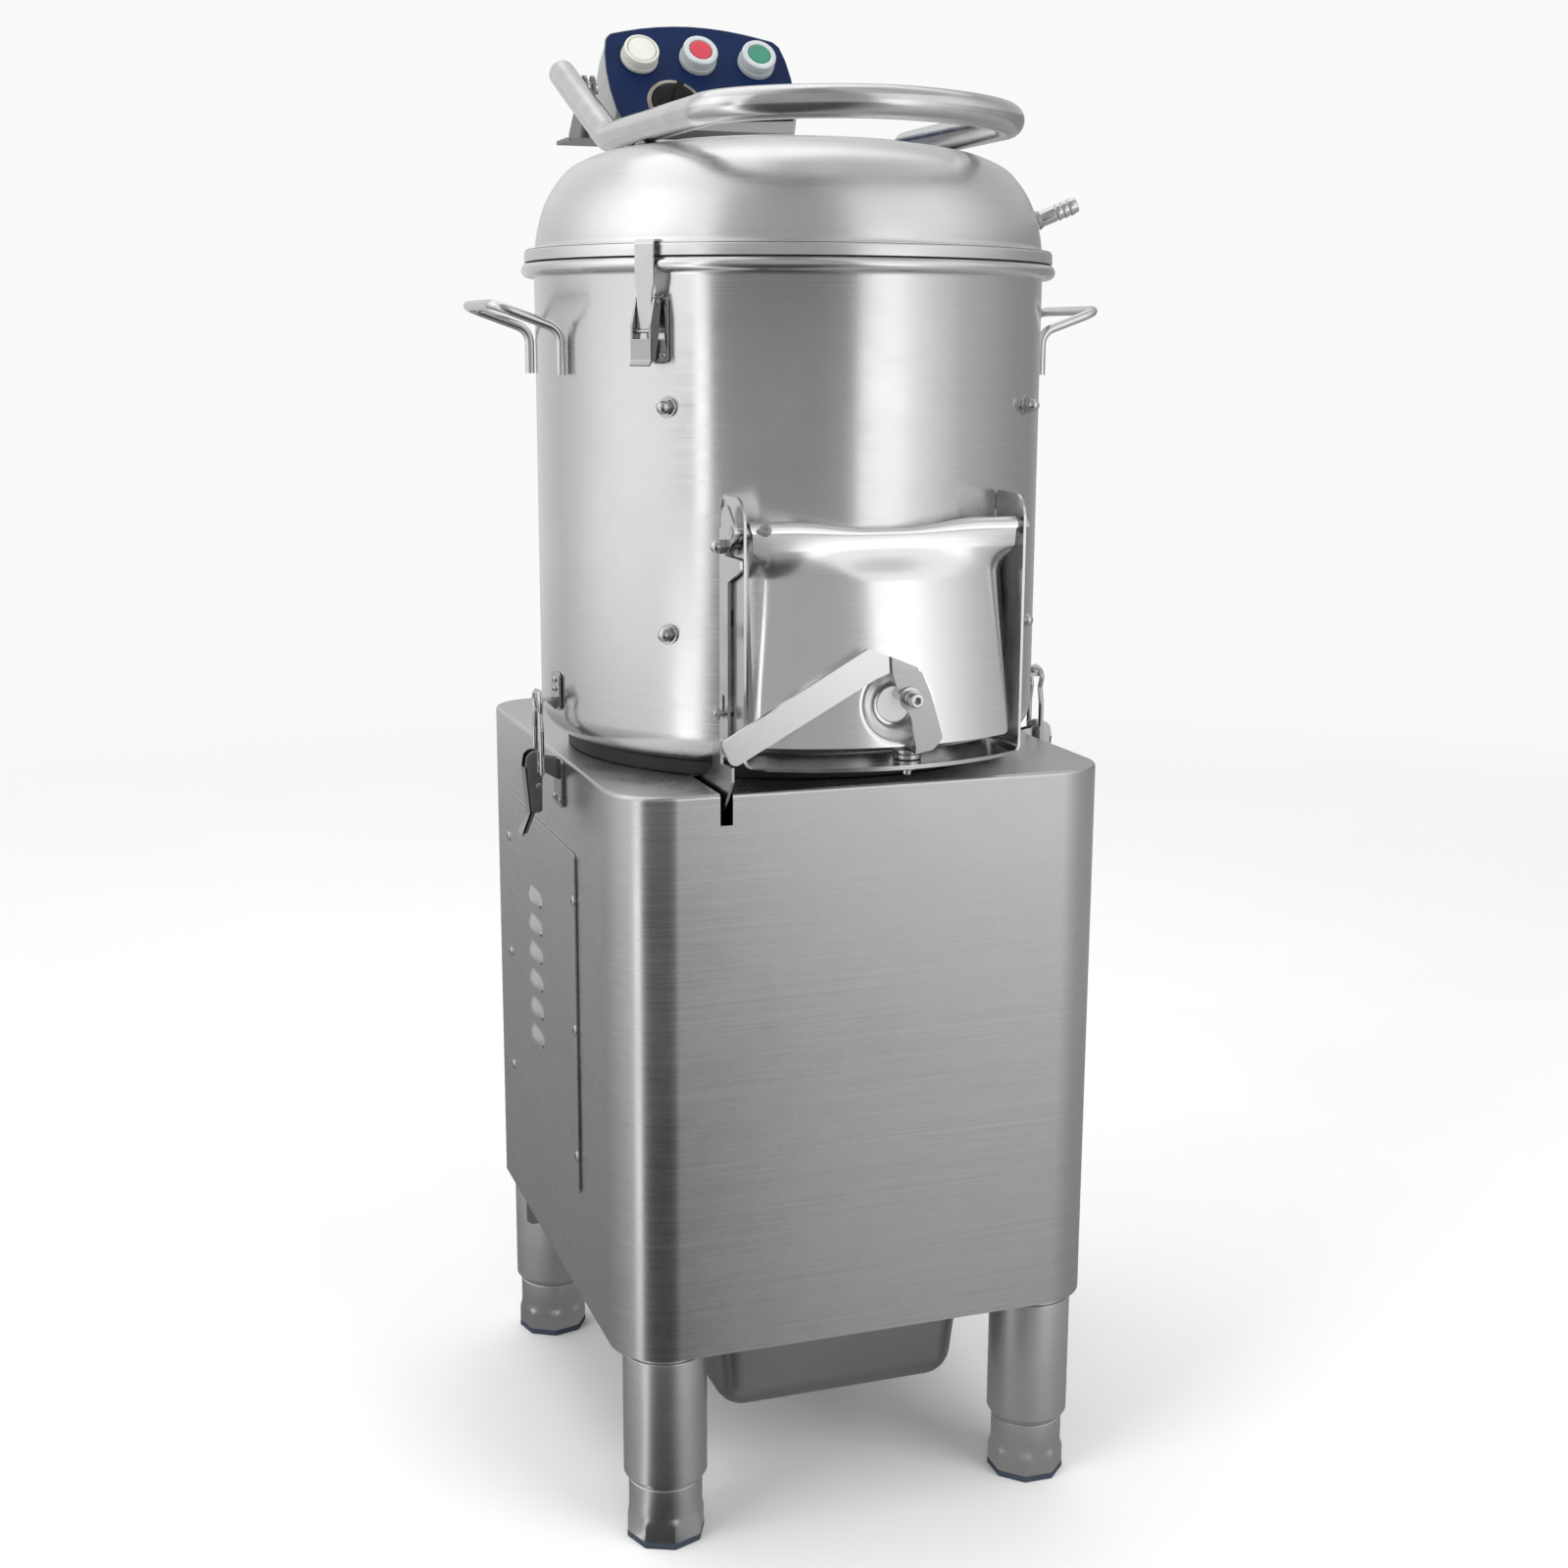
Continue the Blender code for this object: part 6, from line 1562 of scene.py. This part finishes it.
# ------------------------------------------------------------------ hinge bracket, column, control box
def build_rear():
    bracket = plate("hinge_foot", [box_outline(-117, 211, -55.4, 252, 3)], 1041, 1044)
    parts = [bracket]
    for x0, x1 in ((-106.2, -104), (-99.6, -97.4)):
        outline = hull(circle(LID_HINGE_Y, LID_HINGE_Z, 9.5, 48) + [(213, 1042), (250, 1042), (250, 1050)])
        parts.append(plate("c_cheek", [outline, circle(LID_HINGE_Y, LID_HINGE_Z, 5.4, 32)], x0, x1, "YZ"))
    # The hinge bracket's dark tone is painted shade.
    piece(together("hinge_foot", parts), "base", SHADED_SHEET, ["lid_hinge_bracket"], bevel=0.4)
    column = plate("rear_post", [box_outline(-55, 206, 55, 242, 5, 8), box_outline(-53, 208, 53, 240, 3.2, 8)], 577.6, 1044.7)
    piece(column, "base", BOX, ["rear_column"], bevel=0.3)


build_rear()


def facia_outline(inset=0.0, left=0.0, right=0.0):
    """Outline of the control face; left and right lift the two lower corners."""
    def side(low):
        edge = [(73.0 + 5.2 * min(low, 17.5) / 18.0, low), (78.2, 18), (80.6, 38), (81.0, 57), (79.4, 76), (76.2, 90)]
        return [(x - inset, y) for x, y in edge]
    top = [(71.5 - inset, 95.6 - inset)] + [(x, y - inset) for x, y in ((58, 99.2), (45, 102.4), (30, 105.0),
                                                                        (15, 106.6), (0, 107.2))]
    pts = side(right) + top
    pts[0] = (pts[0][0], pts[0][1] + inset)
    other = side(left) + top[:-1]
    other[0] = (other[0][0], other[0][1] + inset)
    pts += [(-x, y) for x, y in other[::-1]]
    radii = [0.5] + [20.0] * 4 + [5.0, 5.0] + [60.0] * 9 + [5.0, 5.0] + [20.0] * 4 + [0.5]
    return fillet(pts, radii, 4, closed=True)


BUTTONS = {"red_button": (0.0, 71.5), "green_button": (51.0, 70.0)}
LAMP, KNOB_AT = (-51.0, 69.5), (-27.0, 24.5)


def build_controls():
    face = plate("panel_film_plate", [facia_outline(0.9, 4.0, 16.5), circle(*BUTTONS["red_button"], 15.9, 56),
                                      circle(*BUTTONS["green_button"], 15.9, 56), circle(*KNOB_AT, 4.2, 32)], -0.9, 0.0,
                 "XY", FACE)
    piece(face, "base", BLUE, ["control_facia"], bevel=0.3)
    back = plate("panel_back_plate", [facia_outline(0.0), circle(*BUTTONS["red_button"], 15.9, 56),
                                      circle(*BUTTONS["green_button"], 15.9, 56), circle(*KNOB_AT, 4.2, 32)], -3.0, -0.95,
                 "XY", FACE)
    piece(back, "base", BOX, bevel=0.35)
    housing = plate("control_case", [facia_outline(1.0)], -82, -3.3, "XY", FACE)
    housing = cut(housing, block("c_box_back", (-120, 264.5, 950), (120, 400, 1200)),
                  block("c_box_low", (-120, 150, 900), (120, 400, 1045.2)))
    hollow = plate("c_hollow", [facia_outline(3.0)], -86, -2.0, "XY", FACE)
    hollow = cut(hollow, block("c_hollow_back", (-130, 262.5, 940), (130, 410, 1210)),
                 block("c_hollow_low", (-130, 140, 890), (130, 410, 1047.2)))
    housing = cut(housing, hollow)
    piece(housing, "base", BOX, ["control_box"], angle=30, bevel=0.3, limit=50)

    def boot(name, at, body, node, low, glass, centre, disc_r):
        x, y = at
        where = FACE @ Matrix.Translation((x * MM, y * MM, 0))
        rim = disc_r + 0.5
        shape = [(0, 10.2), (rim, 10.2), (rim, 13.0), (rim + 0.9, 13.4), (13.2, 13.4), (14.6, 12.6), (14.9, 11.2),
                 (15.2, 4.6), (15.6, 4.2), (15.7, 3.4), (15.7, low), (0, low)]
        piece(turned(name + "_boot", soften(shape, 0.7, 5), (0, 0, 0), 80, where), body, glass, [node])
        cap = turned(name + "_disc", soften([(0, 9.6), (disc_r, 9.6), (disc_r, 12.8), (disc_r - 1.2, 13.3), (0, 13.4)], 0.5),
                     (0, 0, 0), 64, where)
        piece(cap, body, centre)
        if low < 0:
            stem = turned(name + "_stem", soften([(0, -12), (5, -12), (5, 0), (0, 0)], 0.4), (0, 0, 0), 24, where)
            piece(stem, body, BLACK)

    boot("red", BUTTONS["red_button"], "red_button", "red_button", -2.4, BOOT, RED, 9.4)
    boot("green", BUTTONS["green_button"], "green_button", "green_button", -2.4, BOOT, GREEN, 9.4)
    boot("lamp", LAMP, "base", "indicator_lamp", 0.3, BOOT_WHITE, BOOT_WHITE, 11.8)

    knob_at = FACE @ Matrix.Translation((KNOB_AT[0] * MM, KNOB_AT[1] * MM, 0))
    skirt = turned("dial_skirt", soften([(0, 6.0), (13.0, 6.0), (17.6, 5.2), (19.7, 2.2), (19.7, 1.0), (3.8, 1.0), (3.8, -9),
                                        (0, -9)], 0.8, 5), (0, 0, 0), 80, knob_at)
    piece(skirt, "timer_knob", KNOB, ["timer_knob"])
    grip = plate("dial_grip", [fillet([(-3.2, -15.6), (3.2, -15.6), (3.2, 15.6), (-3.2, 15.6)], 3.0, 10, closed=True)],
                 3.0, 11.5, "XY", knob_at @ about_z(math.radians(-16)))
    piece(grip, "timer_knob", KNOB, bevel=1.0, segments=4)
    ring = turned("dial_scale", soften([(20.4, 0.3), (24.0, 0.3), (24.0, 1.3), (20.4, 2.1)], 0.3), (0, 0, 0), 96, knob_at)
    piece(ring, "base", DIAL, ["timer_ring"])


build_controls()
